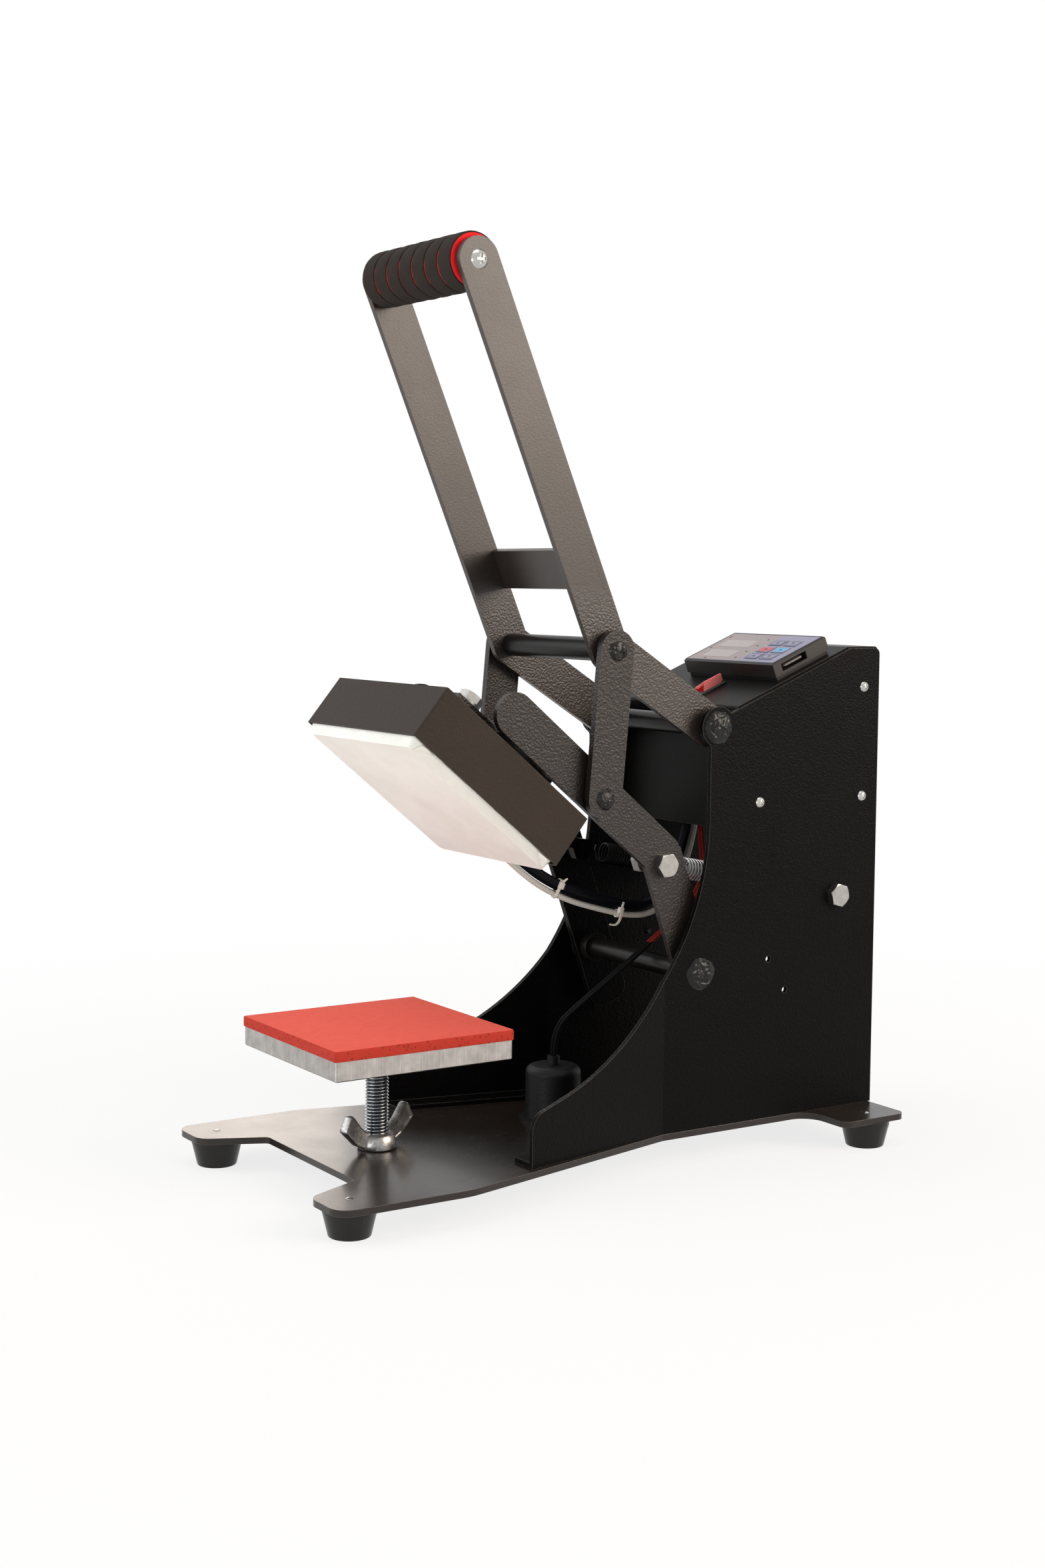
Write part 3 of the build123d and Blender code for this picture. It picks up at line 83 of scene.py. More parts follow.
class Slot(StrEnum):
    """Names of the record's material slots, handed with the new pieces but not given to them."""

    ABS = "abs"
    BRAID = "braid"
    CLOTH = "cloth"
    FOAM = "foam"
    FOAM_CORE = "foam_core"
    FRAME = "frame"
    KEY_BLUE = "key_blue"
    KEY_RED = "key_red"
    LEAD_RED = "lead_red"
    NYLON = "nylon"
    OVERLAY = "overlay"
    RUBBER = "rubber"
    SILICONE = "silicone"
    SLEEVE = "sleeve"
    SWITCH_RED = "switch_red"
    ZINC = "zinc"


class Stiffness(StrEnum):
    """How stiff a cord is, kept with it but not used."""

    LIMP = "limp"
    MEDIUM = "medium"


# Node trees and colours


def linear(code: str) -> tuple[float, float, float, float]:
    """Turn an sRGB hex colour into linear light.

    Args:
        code: A # and six hex digits.

    Returns:
        Red, green, blue and an alpha of one.
    """
    parts = [int(code[i : i + 2], 16) / 255 for i in (1, 3, 5)]
    lin = [c / 12.92 if c <= 0.04045 else ((c + 0.055) / 1.055) ** 2.4 for c in parts]
    return (lin[0], lin[1], lin[2], 1.0)


def per_metre(size: float) -> float:
    """Cycles to the metre of a pattern with this many millimetres to a cycle."""
    return 1 / (size * MM)


def fill_sockets(tree: Tree, node: bpy.types.Node, inputs: dict) -> None:
    """Give a node's inputs what they need.

    Args:
        tree: The node tree it is in.
        node: The node.
        inputs: By name or index, a number, a colour, or the socket that feeds the input.
    """
    for name, value in inputs.items():
        if isinstance(value, Socket):
            tree.links.new(value, node.inputs[name])
        else:
            node.inputs[name].default_value = value


def add_node(
    tree: Tree, kind: str, inputs: dict | None = None, out: str = "", **settings: object
) -> Socket | None:
    """Add one node, set it and join it to what feeds it.

    Args:
        tree: The node tree it goes into.
        kind: Blender's name for the node's type, less its ShaderNode.
        inputs: What fills its input sockets.
        out: The output wanted, or nothing for the first one in use.
        settings: The node's own properties.

    Returns:
        That output socket, or None if the node has no output.
    """
    node = tree.nodes.new("ShaderNode" + kind)
    for name, value in settings.items():
        setattr(node, name, value)
    fill_sockets(tree, node, inputs or {})
    return node.outputs[out] if out else next((s for s in node.outputs if s.enabled), None)


def seen_rays(tree: Tree) -> Socket:
    """Tell the rays that show a surface from those that light the object by it.

    Args:
        tree: The node tree.

    Returns:
        One for camera, glossy and transmission rays.
    """
    rays = add_node(tree, "LightPath").node.outputs
    seen = rays["Is Camera Ray"]
    for name in ("Is Glossy Ray", "Is Transmission Ray"):
        seen = add_node(tree, "Math", {0: seen, 1: rays[name]}, operation="MAXIMUM")
    return seen


@dataclass(frozen=True)
class Work:
    """A material in the making: its nodes, its shader and the place on the piece in metres."""

    tree: Tree
    shader: bpy.types.Node
    place: Socket

    def add(self, kind: str, inputs: dict | None = None, out: str = "", **settings: object) -> Socket:
        """Add a node to this material, as add_node says."""
        return add_node(self.tree, kind, inputs, out, **settings)

    def feed(self, inputs: dict) -> None:
        """Fill the shader's own sockets, as fill_sockets says."""
        fill_sockets(self.tree, self.shader, inputs)


@dataclass(frozen=True)
class Finish:
    """A surface with one uniform base, dressed by each kind in its own way."""

    title: str
    colour: str
    roughness: float = 0.5
    specular: float = 0.5
    metallic: float = 0.0

    def material(self) -> bpy.types.Material:
        """Make the material once, and hand out the same one after that.

        Returns:
            The Blender material of this finish.
        """
        known = bpy.data.materials.get(self.title)
        if known:
            return known
        made = bpy.data.materials.new(self.title)
        made.use_nodes = True
        tree = made.node_tree
        work = Work(tree, tree.nodes["Principled BSDF"], add_node(tree, "TexCoord", out="Object"))
        work.feed({
            "Base Color": linear(self.colour), "Roughness": self.roughness,
            "Metallic": self.metallic, "Specular IOR Level": self.specular,
        })
        self.dress(work)
        return made

    def dress(self, work: Work) -> None:
        """Draw the surface's own detail, which every kind of finish says for itself."""
        raise NotImplementedError(self.title)


@dataclass(frozen=True)
class PowderCoat(Finish):
    """Baked polyester powder: orange peel, soft sheen, and pale edges, partly paint drawn thin and partly
    painted highlight.
    """

    # Pale edge colour: paint worn thin, and painted highlight
    wear_and_highlight_colour: str = "#8a847c"
    grain: float = 1.1
    relief: float = 0.12
    edge: float = 0.5
    mottle: float = 45.0
    # How far the edges go pale: paint worn thin, and painted highlight
    thin: float = 0.75
    smooth_above: float = 0.0
    smooth_over: float = 25.0
    coat: float = 0.0

    def dress(self, work: Work) -> None:
        """Grain and cloudiness over the sheet, and pale lines on its edges, partly thin paint and partly
        painted highlight.

        Args:
            work: The material in the making.
        """
        cloud = work.add("TexNoise", {
            "Vector": work.place, "Scale": per_metre(self.mottle), "Detail": 4.0, "Roughness": 0.6,
        })
        height = work.add("TexNoise", {
            "Vector": work.place, "Scale": per_metre(self.grain), "Detail": 2.0, "Roughness": 0.45,
        })
        round_edge = work.add("Bevel", {"Radius": self.edge * MM}, samples=4)
        flat = work.add("NewGeometry", out="Normal")
        bent = work.add("VectorMath", {0: round_edge, 1: flat}, operation="DOT_PRODUCT")
        # Edge share: partly paint worn thin, partly painted highlight along the edges
        rim = work.add("MapRange", {
            "Value": bent, "From Min": 0.995, "From Max": 0.85, "To Min": 0.0, "To Max": self.thin,
        })
        base = linear(self.colour)
        paler = [c * 1.35 for c in base[:3]] + [1.0]
        shade = work.add("Mix", {"Factor": cloud, "A": base, "B": paler}, data_type="RGBA")
        worn_and_lit = work.add(
            "Mix", {"Factor": rim, "A": shade, "B": linear(self.wear_and_highlight_colour)}, data_type="RGBA"
        )
        gloss = work.add("MapRange", {
            "Value": cloud, "To Min": self.roughness - 0.06, "To Max": self.roughness + 0.08,
        })
        if self.smooth_above:
            rough = work.add("MapRange", {
                "Value": work.add("SeparateXYZ", {0: work.place}, "Z"),
                "From Min": self.smooth_above * MM, "From Max": (self.smooth_above + self.smooth_over) * MM,
                "To Min": 1.0, "To Max": 0.16,
            })
            height = work.add("Math", {0: height, 1: rough}, operation="MULTIPLY")
        bump = work.add("Bump", {
            "Strength": 1.0, "Distance": self.relief * MM, "Height": height, "Normal": round_edge,
        })
        work.feed({
            "Coat Weight": self.coat, "Coat Roughness": 0.1,
            "Base Color": worn_and_lit, "Roughness": gloss, "Normal": bump,
        })


@dataclass(frozen=True)
class BareMetal(Finish):
    """Plated, rolled or sawn metal: bright, with marks drawn out along one way."""

    mark: Triple = (0.6, 0.6, 0.6)
    stain: float = 9.0
    relief: float = 0.03
    dull: float = 0.18
    shade: str = "#8f8f8c"
    shading: float = 0.5
    # Colour for the side left of the middle: painted shade
    left_shade_colour: str = ""

    def dress(self, work: Work) -> None:
        """Tool marks in the relief and the gloss, uneven brightness, and painted shade on the left side where
        a colour is given for it.

        Args:
            work: The material in the making.
        """
        stretched = work.add("Mapping", {"Vector": work.place, "Scale": [per_metre(m) for m in self.mark]})
        marks = work.add("TexNoise", {"Vector": stretched, "Scale": 1.0, "Detail": 5.0, "Roughness": 0.65})
        stains = work.add("TexNoise", {
            "Vector": work.place, "Scale": per_metre(self.stain), "Detail": 5.0, "Roughness": 0.6,
        })
        both = work.add("Math", {0: marks, 1: stains}, operation="MULTIPLY")
        amount = work.add("MapRange", {
            "Value": both, "From Min": 0.12, "From Max": 0.42, "To Min": self.shading, "To Max": 0.0,
        })
        colour = work.add(
            "Mix", {"Factor": amount, "A": linear(self.colour), "B": linear(self.shade)}, data_type="RGBA"
        )
        # Painted shade: the side left of the middle turns near black
        if self.left_shade_colour:
            across = work.add("SeparateXYZ", {0: work.place}, "X")
            left = work.add("Math", {0: across, 1: 0.0}, operation="LESS_THAN")
            colour = work.add(
                "Mix", {"Factor": left, "A": colour, "B": linear(self.left_shade_colour)}, data_type="RGBA"
            )
        gloss = work.add("MapRange", {
            "Value": stains, "To Min": self.roughness, "To Max": self.roughness + self.dull,
        })
        bump = work.add("Bump", {"Strength": 0.8, "Distance": self.relief * MM, "Height": marks})
        work.feed({"Base Color": colour, "Roughness": gloss, "Normal": bump})


@dataclass(frozen=True)
class SpongeSheet(Finish):
    """Cut silicone sponge: closed skin above, open cells along the sawn sides."""

    cell: float = 2.6
    blotch: float = 5.0
    fine: float = 0.7
    # Pit colour: painted shade in the open cells
    pit_shade_colour: str = "#7c1d14"
    skin: str = "#e0604d"
    freckle: str = "#b8402f"

    def dress(self, work: Work) -> None:
        """Pits on the sides only, darkened as painted shade, and a paler cast skin on top.

        Args:
            work: The material in the making.
        """
        upright = work.add("SeparateXYZ", {0: work.add("TexCoord", out="Normal")}, "Z")
        top = work.add("MapRange", {"Value": upright, "From Min": 0.5, "From Max": 0.9})
        side = work.add("Math", {0: 1.0, 1: top}, operation="SUBTRACT")
        cells = work.add("TexVoronoi", {
            "Vector": work.place, "Scale": per_metre(self.cell), "Randomness": 1.0,
        })
        blotches = work.add("TexNoise", {
            "Vector": work.place, "Scale": per_metre(self.blotch), "Detail": 5.0, "Roughness": 0.7,
        })
        pits = work.add("MapRange", {"Value": cells, "From Min": 0.34, "From Max": 0.12})
        open_cells = work.add("Math", {0: pits, 1: blotches}, operation="MULTIPLY")
        # Painted shade in the open cells of the sawn sides
        shaded_pits = work.add("Math", {0: open_cells, 1: side}, operation="MULTIPLY")
        specks = work.add("MapRange", {
            "Value": blotches, "From Min": 0.35, "From Max": 0.75, "To Min": 0.0, "To Max": 0.35,
        })
        colour: Socket | tuple = linear(self.colour)
        for share, other in ((top, self.skin), (specks, self.freckle), (shaded_pits, self.pit_shade_colour)):
            colour = work.add("Mix", {"Factor": share, "A": colour, "B": linear(other)}, data_type="RGBA")
        hollow = work.add("Math", {0: 1.0, 1: shaded_pits}, operation="SUBTRACT")
        grain = work.add("TexNoise", {"Vector": work.place, "Scale": per_metre(self.fine), "Detail": 3.0})
        bump = work.add("Bump", {"Strength": 0.5, "Distance": 0.15 * MM, "Height": grain})
        bump = work.add("Bump", {"Strength": 1.0, "Distance": 0.8 * MM, "Height": hollow, "Normal": bump})
        work.feed({"Base Color": colour, "Normal": bump})


@dataclass(frozen=True)
class Grained(Finish):
    """Moulded, cast or foamed stuff: an even grain and a slow drift of colour."""

    other: str = "#ffffff"
    drift: float = 12.0
    drift_amount: float = 0.25
    grain: float = 0.6
    relief: float = 0.05
    transmission: float = 0.0
    subsurface: float = 0.0
    scatter: float = 2.0
    coat: float = 0.0
    # Colour of faces turned to +X: painted light
    lit_flank_colour: str = ""

    def dress(self, work: Work) -> None:
        """A second colour drifting in, the grain as relief, and a painted light colour on faces turned to +X
        if it has one.

        Args:
            work: The material in the making.
        """
        slow = work.add("TexNoise", {
            "Vector": work.place, "Scale": per_metre(self.drift), "Detail": 4.0, "Roughness": 0.6,
        })
        amount = work.add("MapRange", {
            "Value": slow, "From Min": 0.3, "From Max": 0.75, "To Min": 0.0, "To Max": self.drift_amount,
        })
        colour = work.add(
            "Mix", {"Factor": amount, "A": linear(self.colour), "B": linear(self.other)}, data_type="RGBA"
        )
        # Painted light: faces turned to +X take a paler colour
        if self.lit_flank_colour:
            right = work.add("SeparateXYZ", {0: work.add("TexCoord", out="Normal")}, "X")
            share = work.add("MapRange", {"Value": right, "From Min": 0.6, "From Max": 0.85})
            colour = work.add(
                "Mix", {"Factor": share, "A": colour, "B": linear(self.lit_flank_colour)}, data_type="RGBA"
            )
        grain = work.add("TexNoise", {"Vector": work.place, "Scale": per_metre(self.grain), "Detail": 2.0})
        bump = work.add("Bump", {"Strength": 0.9, "Distance": self.relief * MM, "Height": grain})
        work.feed({
            "Transmission Weight": self.transmission, "Subsurface Weight": self.subsurface,
            "Subsurface Scale": self.scatter * MM, "Coat Weight": self.coat,
            "Base Color": colour, "Normal": bump,
        })


@dataclass(frozen=True)
class WovenCloth(Finish):
    """Coated glass cloth: a plain weave under a thin skin, faintly soiled."""

    thread: float = 1.0
    relief: float = 0.05
    patch: float = 60.0
    soil: str = "#e3dccf"

    def dress(self, work: Work) -> None:
        """Two crossing thread waves, drawn coarser than the 0.4 mm real ones to show.

        Args:
            work: The material in the making.
        """
        waves = [
            work.add(
                "TexWave", {"Vector": work.place, "Scale": WAVE_BAND / (self.thread * MM), "Distortion": 0.6},
                "Fac", bands_direction=axis,
            )
            for axis in ("X", "Y")
        ]
        weave = work.add("Math", dict(enumerate(waves)), operation="MULTIPLY")
        patches = work.add("TexNoise", {
            "Vector": work.place, "Scale": per_metre(self.patch), "Detail": 6.0, "Roughness": 0.65,
        })
        amount = work.add("MapRange", {"Value": patches, "From Min": 0.35, "From Max": 0.7})
        tint = work.add(
            "Mix", {"Factor": amount, "A": linear(self.colour), "B": linear(self.soil)}, data_type="RGBA"
        )
        bump = work.add("Bump", {"Strength": 0.6, "Distance": self.relief * MM, "Height": weave})
        work.feed({"Base Color": tint, "Normal": bump})


@dataclass(frozen=True)
class ToneMix(Finish):
    """A colour that follows how deep each point of the mesh lies, as in a braid, with painted shade where it
    lies low.
    """

    deep: str = "#7d7a75"
    relief: float = 0.05
    fine: float = 0.35

    def dress(self, work: Work) -> None:
        """Painted shade in the hollows, or wherever the tone is low, and fine fibres or scratches over all.

        Args:
            work: The material in the making.
        """
        depth = work.add("Attribute", out="Fac", attribute_name="tone")
        # Painted shade: the deep colour where the tone is low
        tint = work.add(
            "Mix", {"Factor": depth, "A": linear(self.deep), "B": linear(self.colour)}, data_type="RGBA"
        )
        fibre = work.add("TexNoise", {"Vector": work.place, "Scale": per_metre(self.fine), "Detail": 3.0})
        bump = work.add("Bump", {"Strength": 0.7, "Distance": self.relief * MM, "Height": fibre})
        work.feed({"Base Color": tint, "Normal": bump})


# Finishes of the press. Comments say what each gives the eye.

# Thick pebbled black on the frame: nearly black, with sparks where the grains catch a lamp
PLATE_COAT = PowderCoat(
    "textured_plate_coat_baked", "#090808", 0.34, 0.055, grain=1.5, relief=0.5, thin=0.7
)
# The cover's coat is thinner: a broad soft sheen up its slope
COVER_COAT = PowderCoat(
    "cover_powder_coat_baked", "#0b0a09", 0.36, 0.09, grain=1.5, relief=0.12, thin=0.7
)
# Pebbled coat of the swinging parts: a lighter and warmer black than the plates', painted light for where the
# lamps strike them squarely
TEXTURED_COAT = PowderCoat(
    "textured_arm_coat_baked", "#1d1815", 0.36, 0.36, grain=1.8, relief=0.6, thin=0.5
)
# Lever: pebbled below the knee and drawn out smooth above it
LEVER_COAT = PowderCoat(
    "lever_powder_coat_baked", "#2a2420", 0.33, 0.52, grain=1.8, relief=0.5, smooth_above=425.0, thin=0.4
)
# Base plate: smooth and glossy enough to mirror what stands on it
DECK_COAT = PowderCoat(
    "deck_powder_coat_baked", "#201a16", 0.25, 0.34, grain=1.4, relief=0.03, thin=0.6, coat=0.12
)
# The folded box of the head: brown-black, fine orange peel
HEAD_COAT = PowderCoat(
    "head_powder_coat_baked", "#322c28", 0.44, 0.07, grain=1.9, relief=0.34, edge=0.6, thin=0.35
)
# Rods and spacers: sprayed thin, so a clear long highlight
ROD_COAT = PowderCoat("rod_powder_coat_baked", "#110f0e", 0.32, 0.2, grain=1.6, relief=0.06, thin=0.3)
# Coat run thick over the welds: glossier lumps
WELD_COAT = PowderCoat(
    "weld_powder_coat_baked", "#0b0a09", 0.24, 0.3, grain=2.4, relief=0.12, edge=0.3, thin=0.0
)
# Bright zinc with faint marks from rolling
ZINC = BareMetal(
    "zinc_steel_plated", "#b4b2ae", 0.26, metallic=1.0, shade="#75736f", shading=0.6, relief=0.05
)
# Bolts through the arms: zinc, with the far left bolt painted near black as painted shade
BOLT = BareMetal(
    "zinc_bolt_plated", "#b4b2ae", 0.26, metallic=1.0, shade="#75736f", shading=0.6, relief=0.05,
    left_shade_colour="#0d0c0c",
)
# Near spring's wire: drawn and plated, a bright line on every coil
WIRE = BareMetal("zinc_wire_drawn", "#bdbcba", 0.2, metallic=1.0, mark=(0.5, 0.5, 0.5), relief=0.01)
# The far spring: painted near black as painted shade, for the deep shade it lies in
DARK_WIRE = BareMetal("steel_wire_shade_painted", "#161514", 0.3, metallic=1.0, shade="#0c0b0b", relief=0.01)
# Polished screw heads: small and very bright
BRIGHT = BareMetal(
    "chromated_screw_plated", "#c6c4bf", 0.16, metallic=1.0, dull=0.1, shade="#8b8984", shading=0.4
)
# Cast zinc wing nut: rough, grey, rubbed bright
CAST = BareMetal(
    "zinc_wing_nut_cast", "#c3c3c3", 0.24, metallic=1.0, mark=(2.2, 2.2, 2.2), relief=0.16, dull=0.26,
    shade="#6f6b65", shading=0.8,
)
# Rolled thread: bright crests, and roots darkened as painted shade
THREAD = ToneMix(
    "zinc_thread_rolled", "#cdd0d3", 0.17, metallic=1.0, deep="#34363a", relief=0.01, fine=1.2
)
# Sawn aluminium: pale and warm, with upright saw strokes along the sides
SAWN = BareMetal(
    "aluminium_plate_sawn", "#bdb9b5", 0.36, metallic=1.0, mark=(0.7, 0.7, 40.0), relief=0.16, dull=0.15,
    shade="#88837e", shading=0.75,
)
# Silicone sponge: matte red, pitted where it was sawn, with painted shade in the pits. Its cells are drawn
# coarser than real ones to show
SPONGE = SpongeSheet(
    "silicone_sponge_cut", "#b03226", 0.85, 0.25, skin="#d8574a", cell=3.0, pit_shade_colour="#5e150e"
)
# Foam skin: dull charcoal, fine cells
FOAM = Grained("nitrile_foam_ground", "#2d2825", 0.95, 0.12, other="#3f3833", grain=1.0, relief=0.3)
# The layer below it: flat clear red in the grooves
CORE = Grained("nitrile_foam_red_ground", "#ee2229", 0.9, 0.2, other="#f4383a", grain=0.8, relief=0.12)
# Coated glass cloth: off-white and nearly matte, over a faint weave
CLOTH = WovenCloth("glass_cloth_coated", "#f1f3ef", 0.7, 0.3, soil="#e6e6e0")
# Rubber feet: near black with the mould's soft shine
RUBBER = Grained(
    "rubber_foot_moulded", "#131110", 0.28, 0.32, other="#1d1a18", grain=0.5, relief=0.03
)
# Controller's housing and base: moulded black plastic with a soft sheen, the base duller
ABS = Grained("abs_housing_moulded", "#1f1b19", 0.4, 0.4, other="#2a2522", grain=0.5, relief=0.04)
ABS_BASE = Grained("abs_base_moulded", "#0f0e0d", 0.5, 0.3, other="#181615", grain=0.5, relief=0.04)
# Printed polyester film: mauve grey, faint sheen, with paler windows and a bluer strip under the keys
FILM = Grained(
    "polyester_film_printed", "#8b7e7f", 0.28, 0.4, other="#958888", drift=20.0, grain=0.9, relief=0.01
)
FILM_WINDOW = Grained("polyester_window_printed", "#a09694", 0.22, 0.4, other="#aaa09d", relief=0.004)
FILM_STRIP = Grained("polyester_strip_printed", "#807f9c", 0.28, 0.4, other="#8988a4", relief=0.006)
# Screen inks: flat, thin and a little matte
NAVY = Grained("ink_navy_printed", "#191d3d", 0.35, 0.3, other="#22264a", relief=0.004)
DARK_INK = Grained("ink_dark_printed", "#2b262d", 0.4, 0.3, other="#353038", relief=0.004)
# Keys: satin plastic in the strip's colour, with one red and one blue cap
KEY_PLAIN = Grained("key_plain_moulded", "#82819c", 0.3, 0.4, other="#8b8aa4", grain=0.6, relief=0.01)
KEY_RED = Grained("key_red_printed", "#c2262b", 0.3, 0.4, other="#cf3a3c", grain=0.6, relief=0.01)
KEY_BLUE = Grained("key_blue_printed", "#46a0cc", 0.3, 0.4, other="#5badd4", grain=0.6, relief=0.01)
# Clear red rocker: deep red and slightly clear, with painted light in pink on its faces turned to +X
ROCKER_RED = Grained(
    "polycarbonate_red_moulded", "#e21a1c", 0.16, 0.5, other="#e83032", grain=1.5, relief=0.01,
    transmission=0.1, subsurface=0.3, coat=0.3, lit_flank_colour="#ff8d8f",
)
# Switch bezel: plain satin black
BEZEL = Grained("nylon_bezel_moulded", "#0e0d0d", 0.4, 0.4, other="#161414", grain=0.5, relief=0.02)
# Circuit board: lacquered green, mottled by the copper below
BOARD = Grained(
    "glass_epoxy_board_etched", "#1e5a34", 0.35, 0.5, other="#2a7044", drift=4.0, grain=1.5, relief=0.1
)
# Potted can: black and barely glossy
POT = Grained(
    "epoxy_pot_cast", "#0c0b0c", 0.5, 0.25, other="#141314", drift=8.0, grain=2.5, relief=0.2
)
# Glass braid: white strands, with painted shade in the hollows between them
BRAID = ToneMix("glass_sleeve_braided", "#f2efe9", 0.5, 0.4, deep="#6d6963")
# Sensor sleeve: blue-black and soft
SLEEVE = Grained(
    "silicone_sleeve_extruded", "#05050c", 0.45, 0.1, other="#090915", drift=10.0, grain=1.0, relief=0.03
)
# Power leads: dull dark red, and painted black below a set height as painted shade
RED_LEAD = ToneMix("silicone_lead_extruded", "#6f1e19", 0.6, 0.08, deep="#040303", relief=0.02)
# Cable ties: milky white, light seeping through
NYLON = Grained(
    "nylon_tie_moulded", "#e6e1d6", 0.4, 0.5, other="#f0ebe0", grain=0.8, relief=0.02, subsurface=0.4
)
# Gland and plugs: matte black rubber
GLAND = Grained("rubber_gland_moulded", "#131111", 0.6, 0.3, other="#1b1919", grain=0.6, relief=0.04)
# Tongue in the side slot: plain mid grey
CARD_TONGUE = Grained("abs_tongue_moulded", "#6b6663", 0.4, 0.4, other="#77726e", grain=0.6, relief=0.02)

# The finish of each node of the frame that keeps its own solid
BARE_NODES: dict[Finish, tuple[str, ...]] = {
    DECK_COAT: ("base_plate",),
    LEVER_COAT: ("lever_arm_right", "lever_arm_left", "lever_tie_plate"),
    # The far head arm takes the plates' darker coat instead of the arms' one, as painted shade
    PLATE_COAT: ("side_plate_right", "side_plate_left", "head_arm_left"),
    COVER_COAT: ("control_cover",),
    TEXTURED_COAT: (
        "link_right", "link_left", "head_arm_right", "hanger_plate", "arm_link_spacers", "link_pins",
    ),
    ROD_COAT: ("knee_rod", "knee_spacers", "lever_pivot_rod", "arm_pivot_rod", "pivot_collars"),
    HEAD_COAT: ("head_cover",),
    ZINC: (
        "platen_base_nut", "rear_spring_bolts", "head_bolts", "hanger_spacers", "heating_element", "grip_rod",
    ),
    BOLT: ("arm_spring_bolts",),
    BRIGHT: ("foot_screws", "cover_screws", "grip_screws"),
    SAWN: ("lower_platen", "heater_block"),
    RUBBER: ("rubber_feet",),
    ABS: ("controller_housing",),
    ABS_BASE: ("controller_base", "mains_inlet"),
    FILM: ("controller_overlay",),
    BEZEL: ("rocker_bezel",),
    BOARD: ("power_board",),
    POT: ("potted_transformer",),
    GLAND: ("lead_gland",),
    KEY_PLAIN: ("key_1", "key_2", "key_3", "key_4", "key_5", "key_6"),
}


# Meshes


@dataclass
class Shape:
    """Points in millimetres, the faces between them and a tone for each point."""

    points: list[Vector] = field(default_factory=list)
    faces: list[tuple[int, ...]] = field(default_factory=list)
    tones: list[float] = field(default_factory=list)

    @classmethod
    def sheet(
        cls, rows: Sequence[Row], tones: Iterable[float] = (),
        round_rows: bool = False, round_columns: bool = False, caps: bool = False,
    ) -> "Shape":
        """Lay a sheet of quads through rows of points.

        Args:
            rows: Rows with equal counts.
            tones: A tone for each point, or none.
            round_rows: Join the last row to the first.
            round_columns: Join each row's end to its start.
            caps: Close the first and last rows with one face each.

        Returns:
            The new shape.
        """
        across, count = len(rows[0]), len(rows)
        shape = cls([p for row in rows for p in row], [], list(tones))
        for i in range(count if round_rows else count - 1):
            for j in range(across if round_columns else across - 1):
                near, far, step = i * across, (i + 1) % count * across, (j + 1) % across
                shape.faces.append((near + j, near + step, far + step, far + j))
        if caps:
            shape.faces.append(tuple(reversed(range(across))))
            shape.faces.append(tuple((count - 1) * across + j for j in range(across)))
        return shape

    def moved(self, matrix: Matrix) -> "Shape":
        """The same shape, placed by a matrix in millimetres."""
        return Shape([matrix @ p for p in self.points], list(self.faces), list(self.tones))

    def join(self, other: "Shape") -> None:
        """Take in another shape.

        Args:
            other: What is added to this one.
        """
        base = len(self.points)
        self.points.extend(other.points)
        self.tones.extend(other.tones)
        self.faces.extend(tuple(base + i for i in face) for face in other.faces)


def add_piece(
    name: str, shape: Shape, finish: Finish, rides: Body | str | None, slot: Slot,
    stands_for: Iterable[str] = (), sharp: float = 40.0,
) -> bpy.types.Object:
    """Make one object of a shape, dress it and join it to its body.

    Args:
        name: The piece's name in the table.
        shape: Its mesh in millimetres.
        finish: What it is made of.
        rides: The body that carries it, or None to leave it on no body.
        slot: Not used.
        stands_for: The frame's nodes that it replaces.
        sharp: Edges over this angle in degrees stay sharp.

    Returns:
        The new object.
    """
    mesh = bpy.data.meshes.new(name)
    mesh.from_pydata([p * MM for p in shape.points], [], shape.faces)
    if shape.tones:
        mesh.attributes.new("tone", "FLOAT", "POINT").data.foreach_set("value", shape.tones)
    work = bmesh.new()
    work.from_mesh(mesh)
    bmesh.ops.recalc_face_normals(work, faces=work.faces)
    work.to_mesh(mesh)
    work.free()
    mesh.shade_smooth()
    mesh.set_sharp_from_angle(angle=radians(sharp))
    mesh.materials.append(finish.material())
    piece = bpy.data.objects.new(name, mesh)
    bpy.context.scene.collection.objects.link(piece)
    if rides:
        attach(piece, str(rides))
    if stands_for:
        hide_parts(*stands_for)
    log.info("%s: %d faces", name, len(mesh.polygons))
    return piece


def blend_head_to_frame(piece: bpy.types.Object, start: Vector, end: Vector) -> None:
    """Bake a piece's placement into its mesh; it follows neither the head nor the frame.

    Args:
        piece: The piece.
        start: Not used.
        end: Not used.
    """
    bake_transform(piece)


def soften(piece: bpy.types.Object, width: float, segments: int = 3) -> None:
    """Round a piece's sharp edges.

    Args:
        piece: The piece.
        width: Width of the rounding in millimetres.
        segments: Faces across it.
    """
    bevel = piece.modifiers.new("edges", "BEVEL")
    bevel.width = width * MM
    bevel.segments = segments
    bevel.limit_method = "ANGLE"
    bevel.harden_normals = False


def turns(count: int) -> list[float]:
    """Equal steps round a circle, in radians."""
    return [tau * j / count for j in range(count)]


def eased(f: float) -> float:
    """A share from 0 to 1 that starts and stops gently."""
    return f * f * (3 - 2 * f)


